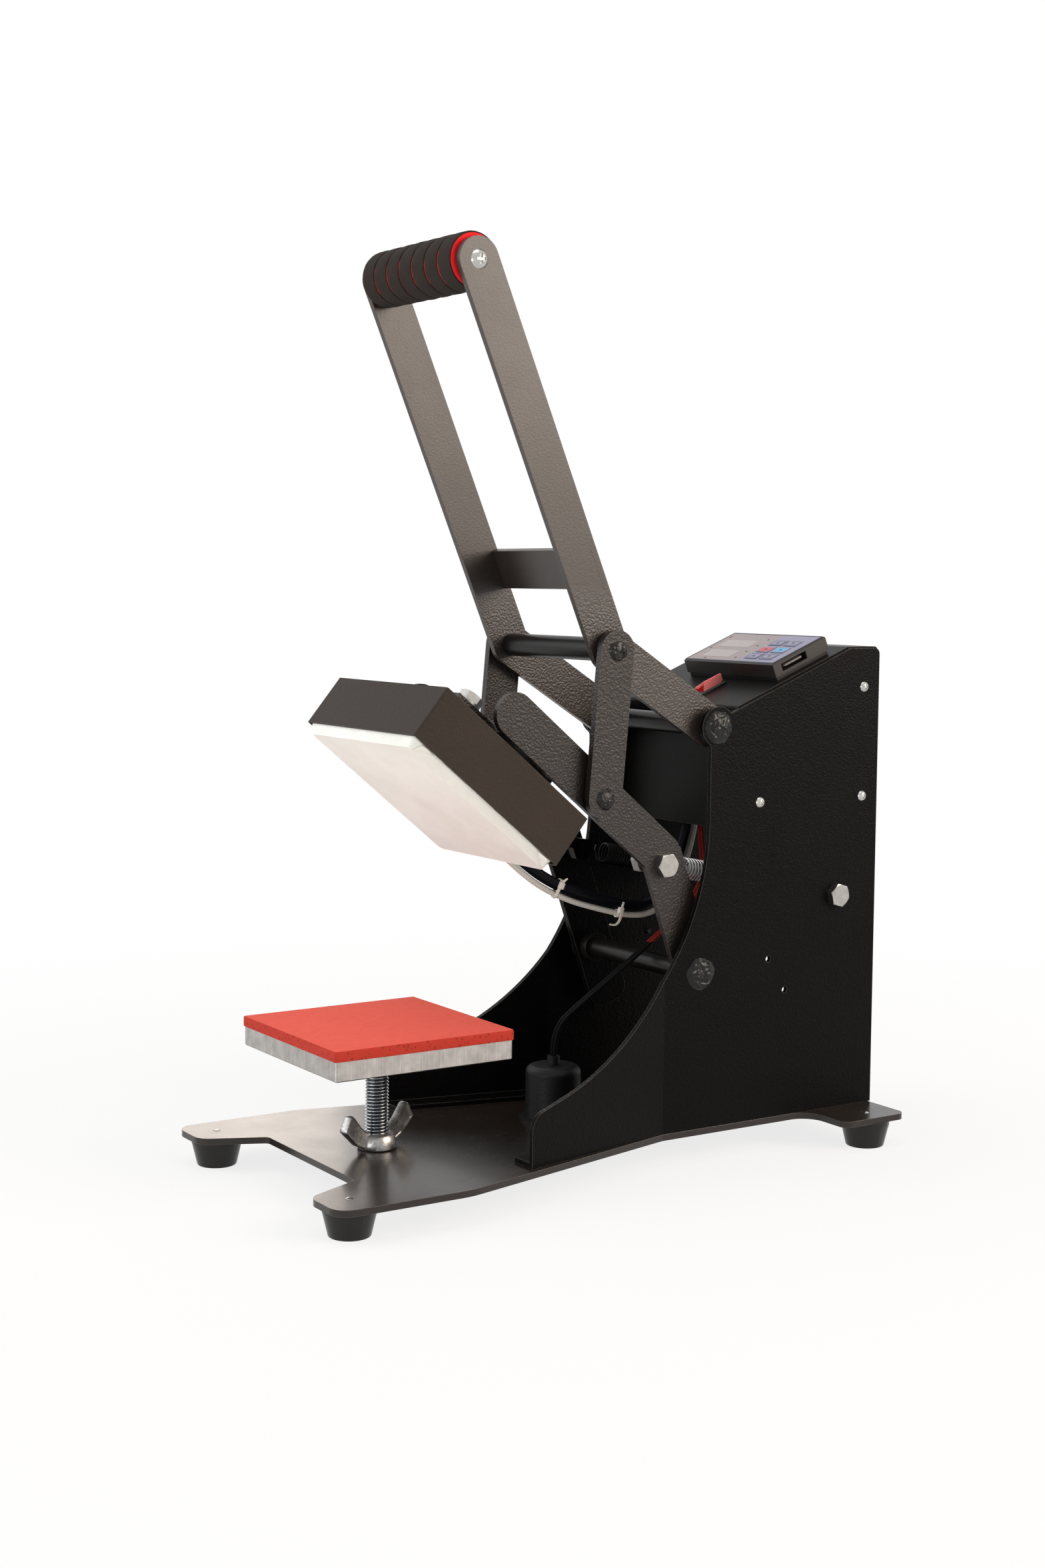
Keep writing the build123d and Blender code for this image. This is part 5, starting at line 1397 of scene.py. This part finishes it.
@dataclass
class Leads:
    """Heater leads with their ties, and the power leads down to the can.

    The first tie holds both heater leads, and the second only the braided one.
    """

    heater: list[Triple] = field(default_factory=lambda: [
        (-15, -48.66, 249.09), (-15, -29.04, 231.5), (-9, -8, 213.5), (-3, 17, 201), (2, 43, 193),
        (4, 69, 186), (5, 93, 185.5), (5, 117, 202), (5, 129, 232), (5, 136.5, 260), (5, 136.5, 283.5),
    ])
    sleeve: list[Triple] = field(default_factory=lambda: [
        (-15, -44.13, 254.55), (-15, -24.37, 237.2), (-9, -4.11, 220), (-3, 19.5, 208),
        (2, 44.6, 200.4), (4, 69.5, 193.6), (5, 89, 193.3), (5, 109, 207),
        (5, 121.5, 236), (5, 129.4, 261), (5, 129.4, 283.5),
    ])
    power: list[Triple] = field(default_factory=lambda: [
        (24, 126, 283.5), (24, 126, 263), (24, 127.5, 246), (24, 130, 229), (24, 128, 211),
        (24.5, 117, 195), (25, 100, 182), (25, 81, 170), (21, 62, 154), (15, 42, 137), (6, 22, 119),
        (-4, 4, 99), (-4, 4, 77.3),
    ])
    heater_radius: float = 2.4
    sleeve_radius: float = 4.5
    power_radius: float = 1.5
    power_shift: float = 1.8
    red_above: float = 167.0
    hinge: tuple[Vector, Vector] = field(
        default_factory=lambda: (Vector((-15, -40, 240)), Vector((4, 80, 200)))
    )
    tie_places: tuple[Triple, ...] = ((-6.0, 4.0, 204.0), (3.0, 60.0, 190.0))
    tie_width: float = 2.6
    tie_band: float = 0.7
    tie_play: float = 0.35
    tie_locks: Pair = (1.0, 0.5)
    lock_size: Triple = (3.6, 4.4, 4.8)
    lock_offset: float = 0.9
    tail_half_width: float = 1.1
    tail_half_thickness: float = 0.4

    def belt(self, small: float, large: float, gap: float) -> Profile:
        """The line of a belt round two circles.

        Args:
            small: Radius of the circle at the origin.
            large: Radius of the one above it.
            gap: Distance between their middles.

        Returns:
            The belt's (side, up) points.
        """
        spread = asin((large - small) / gap)
        under = [pi + spread + (pi - 2 * spread) * k / 12 for k in range(13)]
        over = [-spread + (pi + 2 * spread) * k / 16 for k in range(17)]
        belt = [(small * cos(turn), small * sin(turn)) for turn in under]
        return belt + [(large * cos(turn), gap + large * sin(turn)) for turn in over]

    def tie_tails(self, both: bool) -> list[Row]:
        """The lines of a tie's cut tail and, on the tie round the braid, of its longer end.

        Args:
            both: True for the tie that holds both leads.

        Returns:
            One or two rows of points from the lock, as (out, along, up).
        """
        short = [k / 7 for k in range(8)]
        curl = [1.8 * f * f if both else 0.3 for f in short]
        tails = [[Vector((0.6, 0.5 * f + c, 2.0 + 5.0 * f)) for f, c in zip(short, curl)]]
        if not both:
            tails.append([
                Vector((1.6 - 0.8 * f, 0.4 - 8.5 * f**2.6, -2.2 - 10.5 * sin(f * 1.75)))
                for f in (k / 13 for k in range(14))
            ])
        return tails

    def tail_strip(self, tail: Row) -> Shape:
        """Give a tail its flat section, narrowing to its end.

        Args:
            tail: Its line.

        Returns:
            The closed strip.
        """
        rows, last = [], len(tail) - 1
        for k, spot in enumerate(tail):
            ahead = tail[min(k + 1, last)] - tail[max(k - 1, 0)]
            thick = Vector((self.tail_half_thickness, 0, 0))
            wide = ahead.cross(thick).normalized() * (self.tail_half_width - 0.5 * k / last)
            rows.append([spot - wide - thick, spot + wide - thick, spot + wide + thick, spot - wide + thick])
        return Shape.sheet(rows, round_columns=True, caps=True)

    def tie(self, number: int, low: Row, high: Row) -> bpy.types.Object:
        """A nylon tie with its lock and tails.

        Args:
            number: Which tie.
            low: The braided lead's line.
            high: The sleeve's line.

        Returns:
            The tie.
        """
        both = number == 0
        place = Vector(self.tie_places[number])
        at = min(range(1, len(low) - 1), key=lambda i: (low[i] - place).length)
        centre = low[at]
        along = (low[at + 1] - low[at - 1]).normalized()
        up = min(high, key=lambda p: (p - centre).length) - centre
        up -= along * up.dot(along)
        gap = up.length
        up.normalize()
        side = along.cross(up)
        small, large = self.heater_radius + self.tie_play, self.sleeve_radius + self.tie_play
        if both:
            loop = self.belt(small, large, gap)
        else:
            gap, large = 2 * small, small
            loop = [(small * cos(turn), small * sin(turn)) for turn in turns(24)]
        rows, half, band = [], self.tie_width / 2, self.tie_band
        for grow, shift in ((0.0, -half), (band, -half), (band, half), (0.0, half)):
            row = []
            for u, v in loop:
                middle = gap if both and v >= gap / 2 else 0.0
                out = Vector((u, v - middle))
                out = out * (1 + grow / max(0.1, out.length))
                row.append(centre + side * out.x + up * (out.y + middle) + along * shift)
            rows.append(row)
        shape = Shape.sheet(rows, round_rows=True, round_columns=True)
        if side.x < 0:
            side = -side
        share = self.tie_locks[number]
        reach = small + (large - small) * share + band + self.lock_offset
        lock = Matrix.Translation(centre + up * (gap * share) + side * reach)
        lock = lock @ Matrix((side, along, up)).transposed().to_4x4()
        wide, deep, tall = self.lock_size
        shape.join(extruded_shape(rounded_loop(wide, deep, 0.7, 2, 3), -tall / 2, tall / 2).moved(lock))
        for tail in self.tie_tails(both):
            shape.join(self.tail_strip(tail).moved(lock))
        nodes = ["cable_ties"] if both else []
        piece = add_piece(f"cable_tie_{number + 1}", shape, NYLON, None, Slot.NYLON, nodes, sharp=50)
        blend_head_to_frame(piece, *self.hinge)
        return piece

    def build(self) -> None:
        """Lay the leads, tie them and run the power leads."""
        braid = Cord(
            "braided_heater_lead", self.heater, self.heater_radius, BRAID, Slot.BRAID, "heater_lead",
            braided=True,
        )
        sleeve = Cord(
            "dark_sensor_sleeve", self.sleeve, self.sleeve_radius, SLEEVE, Slot.SLEEVE, "heater_sleeve"
        )
        low, high = braid.spline_points(), sleeve.spline_points()
        ties = [self.tie(number, low, high) for number in range(len(self.tie_places))]
        braid.build(self.hinge, ties)
        sleeve.build(self.hinge)
        for number, (side, node) in enumerate(((-1, "power_leads"), (1, "")), 1):
            Cord(
                f"power_lead_{number}", [(x + side * self.power_shift, y, z) for x, y, z in self.power],
                self.power_radius, RED_LEAD, Slot.LEAD_RED, node, Stiffness.LIMP,
                shade_painted_below=self.red_above,
            ).build()


@dataclass
class Welds:
    """Lumpy weld beads under the powder coat, over the ends of rods and pins.

    The roughness is a (height, length) pair, and the rim of spikes and the crater are (place,
    width) pairs in shares of the radius.
    """

    rings: int = 18
    sides: int = 60
    pivot_radius: float = 12.6
    pin_radius: float = 7.9
    pivot_height: float = 3.2
    pin_height: float = 3.1
    pivot_lumps: int = 7
    pin_lumps: int = 4
    roughness: Pair = (1.3, 2.8)
    spike_height: float = 3.4
    spike_rim: Pair = (0.82, 0.11)
    crater_depth: float = 0.85
    crater_ring: Pair = (0.5, 0.13)

    def bead(self, radius: float, height: float, lumps: int, seed: int) -> Shape:
        """One bead as a height over a disc.

        Args:
            radius: Its outer radius.
            height: Its height in the middle.
            lumps: Spatter lumps on it.
            seed: Which random draw.

        Returns:
            The bead on z = 0, pointing up.
        """
        draw = Random(seed)
        spots = [
            (draw.uniform(0, tau), draw.uniform(0.15, 0.7) * radius, draw.uniform(0.4, 1.2),
             draw.uniform(0.14, 0.3) * radius)
            for _ in range(lumps)
        ]
        notch = draw.uniform(0, tau)
        rough, length = self.roughness
        (rim_place, rim_width), (ring_place, ring_width) = self.spike_rim, self.crater_ring
        rows = []
        for f in (i / self.rings for i in range(self.rings + 1)):
            fade = 1 - f**6
            rim = exp(-(((f - rim_place) / rim_width) ** 2))
            crater = self.crater_depth * height * exp(-(((f - ring_place) / ring_width) ** 2))
            row = []
            for turn in turns(self.sides):
                around = Vector((cos(turn), sin(turn), 0))
                x, y = radius * f * cos(turn), radius * f * sin(turn)
                z = height * (1 - f**4) * 0.8
                z += rough * noise.noise(Vector((x / length, y / length, seed))) * fade
                for angle, place, tall, wide in spots:
                    gap = hypot(x - place * cos(angle), y - place * sin(angle))
                    z += tall * exp(-((gap / wide) ** 2)) * fade
                spike = max(0.0, noise.noise(around * 6.0 + Vector((0, 0, seed + 3))))
                z += self.spike_height * spike * rim
                z -= crater * exp(-(((1 - cos(turn - notch)) / 0.3) ** 2))
                wobble = 1 + 0.16 * noise.noise(around * 1.6 + Vector((0, 0, seed + 9)))
                wobble += 0.07 * noise.noise(around * 7.0 + Vector((0, 0, seed + 13))) * f
                row.append(Vector((x * wobble, y * wobble, max(0.0, z))))
            rows.append(row)
        return Shape.sheet(rows, round_columns=True)

    def build(self) -> None:
        """Weld the pivots, the knee and the link pins on both sides."""
        pivot = (self.pivot_radius, self.pivot_height, self.pivot_lumps)
        pin = (self.pin_radius, self.pin_height, self.pin_lumps)
        outer = PRESS.link_outer
        places = (
            ("pivot_weld_bead", Body.FRAME, PRESS.plate_outer, (PRESS.lever_pivot, PRESS.arm_pivot), pivot),
            ("knee_weld_bead", Body.LINKS, outer, (PRESS.knee,), pin),
            ("pin_weld_bead", Body.HEAD, outer + 0.2, (PRESS.link_pin,), pin),
        )
        for number, (name, body, x, spots, sizes) in enumerate(places):
            shape = Shape()
            for side in (1, -1):
                for k, spot in enumerate(spots):
                    lay = Matrix.Translation((side * x, *spot)) @ Matrix.Rotation(radians(90 * side), 4, "Y")
                    shape.join(self.bead(*sizes, 10 * number + 3 * k + side + 2).moved(lay))
            add_piece(name, shape, WELD_COAT, body, Slot.FRAME, sharp=70)


@dataclass
class BlindPlugs:
    """Black plugs in the far plate's two spare holes: no light shows there in the photograph."""

    holes: tuple[Pair, ...] = ((150.8, 155.1), (168.0, 128.7))
    radius: float = 2.5
    lip: float = 3.6
    sheet: float = 5.0

    def build(self) -> None:
        """Press both plugs in from outside."""
        inner = self.sheet + 0.4
        profile: Profile = [
            (0.3, -1.0), (self.lip - 0.8, -1.0), (self.lip, -0.4), (self.lip, 0.0), (self.radius, 0.0),
            (self.radius, inner), (self.radius - 0.6, inner + 0.8), (0.3, inner + 0.8),
        ]
        shape = Shape()
        for spot in self.holes:
            lay = Matrix.Translation((-PRESS.plate_outer, *spot)) @ Matrix.Rotation(radians(90), 4, "Y")
            shape.join(turned_shape(profile, 24).moved(lay))
        add_piece("hole_plugs", shape, GLAND, Body.FRAME, Slot.RUBBER)


@dataclass
class Controls:
    """Print on the controller's film, marks on its keys, the rocker and the side slot's tongue.

    Places are x across and y up the cover's slope, and heights are off the slope. The rocker's
    side is (up the slope, height) pairs, and its cuts are (across, how much of the drop) pairs.
    """

    origin: Pair = (118.5, 356.7)
    slope: float = 22.0
    top: float = 15.0
    offset: float = 14.0
    from_lobe: float = 49.5
    width: float = 116.0
    depth: float = 58.0
    ink: float = 0.05
    margin: float = 2.2
    border_grow: float = 1.2
    border_line: float = 1.3
    windows: tuple[tuple[Pair, Pair], ...] = (((-34, 7), (78.5, 92)), ((-31, 6), (58, 72)))
    lamp_marks: tuple[Pair, ...] = (
        (-37.5, 97.5), (-37.5, 75), (-21, 54.5), (15, 95), (15, 82.6), (15, 70.4), (15, 58.2),
    )
    lamp_radius: float = 1.1
    key_size: Pair = (15.0, 10.0)
    key_columns: Pair = (34.4, 53.0)
    key_rows: Triple = (62.5, 75.5, 89.3)
    key_proud: float = 0.6
    key_gap: float = 0.4
    key_mark: Pair = (6.9, 3.7)
    key_line: float = 0.42
    strip_left: float = 24.8
    strip_inset: float = 0.7
    rocker_place: Pair = (9.0, 27.5)
    rocker_half: float = 6.4
    rocker_tilt: float = -11.0
    rocker_drop: float = 5.2
    rocker_top_from: float = 5.0
    rocker_cuts: tuple[Pair, ...] = ((1.0, 0.0), (0.88, 0.0), (0.0, 0.5), (-1.0, 1.0))
    rocker_side: tuple[Pair, ...] = (
        (-8.8, -4.6), (-9.5, 2.0), (-8.3, 7.4), (-7.7, 7.9), (9.4, 11.2), (10.2, 10.6), (11.2, 4.7),
        (9.3, 4.2), (8.8, -4.6),
    )
    tongue_size: Triple = (9.0, 20.0, 1.8)
    tongue_inset: float = 5.6
    tongue_along: float = 21.5
    tongue_down: float = 7.3

    def panel(self) -> Matrix:
        """From x across, y up the slope and z off the panel to the frame's axes."""
        return Matrix.Translation((0, *self.origin)) @ Matrix.Rotation(radians(self.slope), 4, "X")

    def print_on(
        self, name: str, shape: Shape, finish: Finish, body: Body | str = Body.FRAME,
        slot: Slot = Slot.OVERLAY,
    ) -> None:
        """Lay a printed shape on the panel."""
        add_piece(name, shape.moved(self.panel()), finish, body, slot)

    def patch(self, x: Pair, y: Pair, radius: float, lift: float = 0.02) -> Shape:
        """A thin printed rectangle on the film.

        Args:
            x: Its left and right sides.
            y: Its low and high sides.
            radius: Corner radius.
            lift: Height of its underside over the film.

        Returns:
            The closed shape.
        """
        middle = ((x[0] + x[1]) / 2, (y[0] + y[1]) / 2)
        loop = rounded_loop(x[1] - x[0], y[1] - y[0], radius, 2, 4)
        outline = [(u + middle[0], v + middle[1]) for u, v in loop]
        return extruded_shape(outline, self.top + lift, self.top + lift + self.ink)

    def frame_line(self, x: Pair, y: Pair, radius: float, line: float, lift: float) -> Shape:
        """A thin printed line round a rectangle.

        Args:
            x: Its left and right sides.
            y: Its low and high sides.
            radius: Corner radius outside.
            line: The line's width.
            lift: Height of its underside over the film.

        Returns:
            The closed ring.
        """
        middle = ((x[0] + x[1]) / 2, (y[0] + y[1]) / 2)
        rows = []
        for inset, height in ((0.0, 0.0), (0.0, self.ink), (line, self.ink), (line, 0.0)):
            wide, deep = x[1] - x[0] - 2 * inset, y[1] - y[0] - 2 * inset
            loop = rounded_loop(wide, deep, max(0.1, radius - inset), 2, 5)
            z = self.top + lift + height
            rows.append([Vector((u + middle[0], v + middle[1], z)) for u, v in loop])
        return Shape.sheet(rows, round_rows=True, round_columns=True)

    def printed(self) -> None:
        """Border, windows, lamp marks and the strip between the keys."""
        left, right = (self.offset + side * (self.width / 2 - self.margin) for side in (-1, 1))
        low, high = self.from_lobe + self.margin, self.from_lobe + self.depth - self.margin
        grow = self.border_grow
        self.print_on("printed_navy_lines", self.frame_line(
            (left - grow, right + grow), (low - grow, high + grow), 1.0, self.border_line, 0.06
        ), NAVY)
        windows, dots, strip = Shape(), Shape(), Shape()
        for x_range, y_range in self.windows:
            windows.join(self.patch(x_range, y_range, 0.8))
        self.print_on("printed_windows", windows, FILM_WINDOW)
        for x, y in self.lamp_marks:
            circle = [(x + self.lamp_radius * cos(t), y + self.lamp_radius * sin(t)) for t in turns(14)]
            dots.join(extruded_shape(circle, self.top + self.ink, self.top + 2 * self.ink))
        self.print_on("printed_lamp_marks", dots, DARK_INK)
        gap_x, gap_y = (size / 2 + self.key_gap for size in self.key_size)
        columns, rows = [self.strip_left], [low + self.strip_inset]
        for x in self.key_columns:
            columns += [x - gap_x, x + gap_x]
        for y in self.key_rows:
            rows += [y - gap_y, y + gap_y]
        columns.append(right - self.strip_inset)
        rows.append(high - self.strip_inset)
        for i, x_range in enumerate(zip(columns, columns[1:])):
            for j, y_range in enumerate(zip(rows, rows[1:])):
                if not (i % 2 and j % 2):
                    strip.join(self.patch(x_range, y_range, 0.01))
        self.print_on("printed_key_strip", strip, FILM_STRIP)

    def key_marks(self) -> None:
        """Bracket and arrow on each plain key, a coloured cap on the two others."""
        caps = ((KEY_RED, Slot.KEY_RED), (KEY_BLUE, Slot.KEY_BLUE))
        level = self.key_proud + 0.02
        half_x, half_y = self.key_mark
        places = [(row, column) for row in range(3) for column in range(2)]
        for number, (row, column) in enumerate(places, 1):
            x, y = self.key_columns[column], self.key_rows[row]
            wide, tall = (x - half_x, x + half_x), (y - half_y, y + half_y)
            if row == 1:
                finish, slot = caps[column]
                cap = self.patch(wide, tall, 0.8, level)
                self.print_on(f"key_cap_{number}", cap, finish, f"key_{number}", slot)
                mark = self.patch((x - 1.8, x + 1.8), (y - 0.9, y + 0.9), 0.6, level + 0.06)
            else:
                mark = self.frame_line(wide, tall, 1.6, self.key_line, level)
                way = 1 if (row + column) % 2 == 0 else -1
                arrow = [(x - 2.0, y - 1.4 * way), (x + 2.0, y - 1.4 * way), (x, y + 1.6 * way)]
                mark.join(extruded_shape(arrow, self.top + level, self.top + level + self.ink))
            self.print_on(f"key_mark_{number}", mark, NAVY, f"key_{number}")

    def rocker(self) -> None:
        """Clear red rocker, raised on its right side, over its hidden paddle."""
        rows = []
        for across, cut in self.rocker_cuts:
            drop = self.rocker_drop * cut
            side = [(v, w - drop if w > self.rocker_top_from else w) for v, w in self.rocker_side]
            rows.append([Vector((self.rocker_half * across, v, w)) for v, w in side])
        shape = Shape.sheet(rows, round_columns=True, caps=True)
        tilt = Matrix.Rotation(radians(self.rocker_tilt), 4, "X")
        stand = Matrix.Translation((*self.rocker_place, 0)) @ tilt
        shape = shape.moved(self.panel() @ stand)
        piece = add_piece(
            "clear_red_rocker", shape, ROCKER_RED, Body.ROCKER, Slot.SWITCH_RED, ["rocker_switch"]
        )
        soften(piece, 0.3, 2)

    def tongue(self) -> None:
        """Grey tongue with a round edge inside the housing's side slot."""
        wide, deep, thick = self.tongue_size
        x, y = self.offset + self.width / 2 - self.tongue_inset, self.from_lobe + self.tongue_along
        outline = [(u + x, v + y) for u, v in rounded_loop(wide, deep, 2.0, 3, 6)]
        low = self.top - self.tongue_down
        shape = extruded_shape(outline, low, low + thick).moved(self.panel())
        soften(add_piece("slot_tongue", shape, CARD_TONGUE, Body.FRAME, Slot.ABS), 0.5)

    def build(self) -> None:
        """Print the film and the keys, and fit the rocker and the tongue."""
        self.printed()
        self.key_marks()
        self.rocker()
        self.tongue()


@dataclass(frozen=True)
class SoftBox:
    """One soft rectangular lamp, in metres and watts."""

    name: str
    place: Triple
    aim: Triple
    size: Pair
    power: float
    tint: str = "#ffffff"

    def hang(self) -> None:
        """Put the lamp in the scene."""
        data = bpy.data.lights.new(self.name, "AREA")
        data.shape = "RECTANGLE"
        data.size, data.size_y = self.size
        data.energy = self.power
        data.color = linear(self.tint)[:3]
        lamp = bpy.data.objects.new(self.name, data)
        lamp.location = self.place
        lamp.rotation_euler = (Vector(self.aim) - Vector(self.place)).to_track_quat("-Z", "Y").to_euler()
        bpy.context.scene.collection.objects.link(lamp)


@dataclass
class Studio:
    """White sweep, soft lamps and the photograph's camera, in metres."""

    camera_place: Triple = (1.40523, -0.93757, 0.45571)
    azimuth: float = 57.13
    elevation: float = 5.44
    roll: float = 0.39
    lens: float = 49.69
    sensor: float = 36.0
    floor_half: float = 6.0
    floor_colour: str = "#e9e8e6"
    fill_colour: str = "#f4f2ef"
    fill_strength: float = 0.4
    lamps: tuple[SoftBox, ...] = (
        SoftBox("rear_right_box", (1.9, 1.5, 1.35), (0.0, 0.0, 0.45), (1.8, 1.5), 64.0, "#ffeddc"),
        SoftBox("front_left_box", (-1.3, -1.9, 1.5), (0.0, 0.0, 0.35), (1.6, 1.6), 22.0),
        SoftBox("top_box", (-0.2, -0.4, 2.3), (0.0, 0.0, 0.0), (1.8, 1.8), 18.0),
        SoftBox("low_front_box", (0.3, -2.2, 0.3), (0.0, 0.0, 0.35), (1.6, 0.5), 14.0),
        SoftBox("rear_left_strip", (-1.85, 0.55, 0.5), (-0.1, -0.2, 0.03), (0.45, 0.5), 2.0, "#fff0e2"),
    )

    def camera(self) -> None:
        """Stand the camera where the photograph was taken from."""
        az, el, roll = (radians(a) for a in (self.azimuth, self.elevation, self.roll))
        right = Vector((cos(az), sin(az), 0))
        ahead = Vector((-sin(az) * cos(el), cos(az) * cos(el), -sin(el)))
        up = right.cross(ahead)
        tilted = right * cos(roll) + up * sin(roll)
        up = up * cos(roll) - right * sin(roll)
        turn = Matrix((tilted, up, -ahead)).transposed().to_4x4()
        data = bpy.data.cameras.new("camera")
        data.lens = self.lens
        data.sensor_width = self.sensor
        data.clip_end = 50.0
        camera = bpy.data.objects.new("camera", data)
        camera.matrix_world = Matrix.Translation(self.camera_place) @ turn
        bpy.context.scene.collection.objects.link(camera)
        bpy.context.scene.camera = camera

    def world(self) -> None:
        """Pale surroundings that the camera and reflections see as white."""
        world = bpy.data.worlds.new("studio")
        bpy.context.scene.world = world
        world.use_nodes = True
        tree = world.node_tree
        tree.nodes.clear()
        fill = add_node(
            tree, "Background", {"Color": linear(self.fill_colour), "Strength": self.fill_strength}
        )
        white = add_node(tree, "Background", {"Color": linear("#ffffff"), "Strength": 1.0})
        both = add_node(tree, "MixShader", {0: seen_rays(tree), 1: fill, 2: white})
        add_node(tree, "OutputWorld", {"Surface": both})

    def floor(self) -> None:
        """White paper floor that keeps the press's shadow and turns plain white further out."""
        material = bpy.data.materials.new("paper_floor_matte")
        material.use_nodes = True
        tree = material.node_tree
        shader = tree.nodes["Principled BSDF"]
        fill_sockets(tree, shader, {
            "Base Color": linear(self.floor_colour), "Roughness": 0.9, "Specular IOR Level": 0.1,
        })
        place = add_node(tree, "TexCoord", out="Object")
        away = add_node(tree, "VectorMath", {0: place}, operation="LENGTH")
        white_share = add_node(tree, "MapRange", {
            "Value": away, "From Min": 0.3, "From Max": 1.1, "To Min": 0.8, "To Max": 1.0,
        })
        share = add_node(tree, "Math", {0: seen_rays(tree), 1: white_share}, operation="MULTIPLY")
        white = add_node(tree, "Emission", {"Color": linear("#ffffff"), "Strength": 1.0})
        both = add_node(tree, "MixShader", {0: share, 1: shader.outputs["BSDF"], 2: white})
        fill_sockets(tree, tree.nodes["Material Output"], {"Surface": both})
        mesh = bpy.data.meshes.new("floor")
        half = self.floor_half
        corners = [(-half, -half, 0), (half, -half, 0), (half, half, 0), (-half, half, 0)]
        mesh.from_pydata(corners, [], [(0, 1, 2, 3)])
        mesh.materials.append(material)
        floor = bpy.data.objects.new("floor", mesh)
        bpy.context.scene.collection.objects.link(floor)

    def build(self) -> None:
        """Set up the camera, the sweep and the lamps."""
        self.camera()
        self.world()
        self.floor()
        for lamp in self.lamps:
            lamp.hang()
        bpy.context.scene.view_settings.view_transform = "Standard"


def dress_bare_nodes() -> None:
    """Give each node that keeps its own solid its finish."""
    for finish, names in BARE_NODES.items():
        for name in names:
            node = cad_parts[name]
            if not node.material_slots:
                node.data.materials.append(None)
            for slot in node.material_slots:
                slot.material = finish.material()
            log.info("%s: %s", name, finish.title)


def main() -> None:
    """Build the studio and the press, piece by piece."""
    logging.basicConfig(level=logging.INFO, format="%(message)s")
    Studio().build()
    Leads().build()
    dress_bare_nodes()
    for assembly in (Platen(), HeaterCloth(), Grip(), ReturnSprings(), Welds(), BlindPlugs(), Controls()):
        assembly.build()
        log.info("%s done", type(assembly).__name__)


if __name__ == "__main__":
    main()
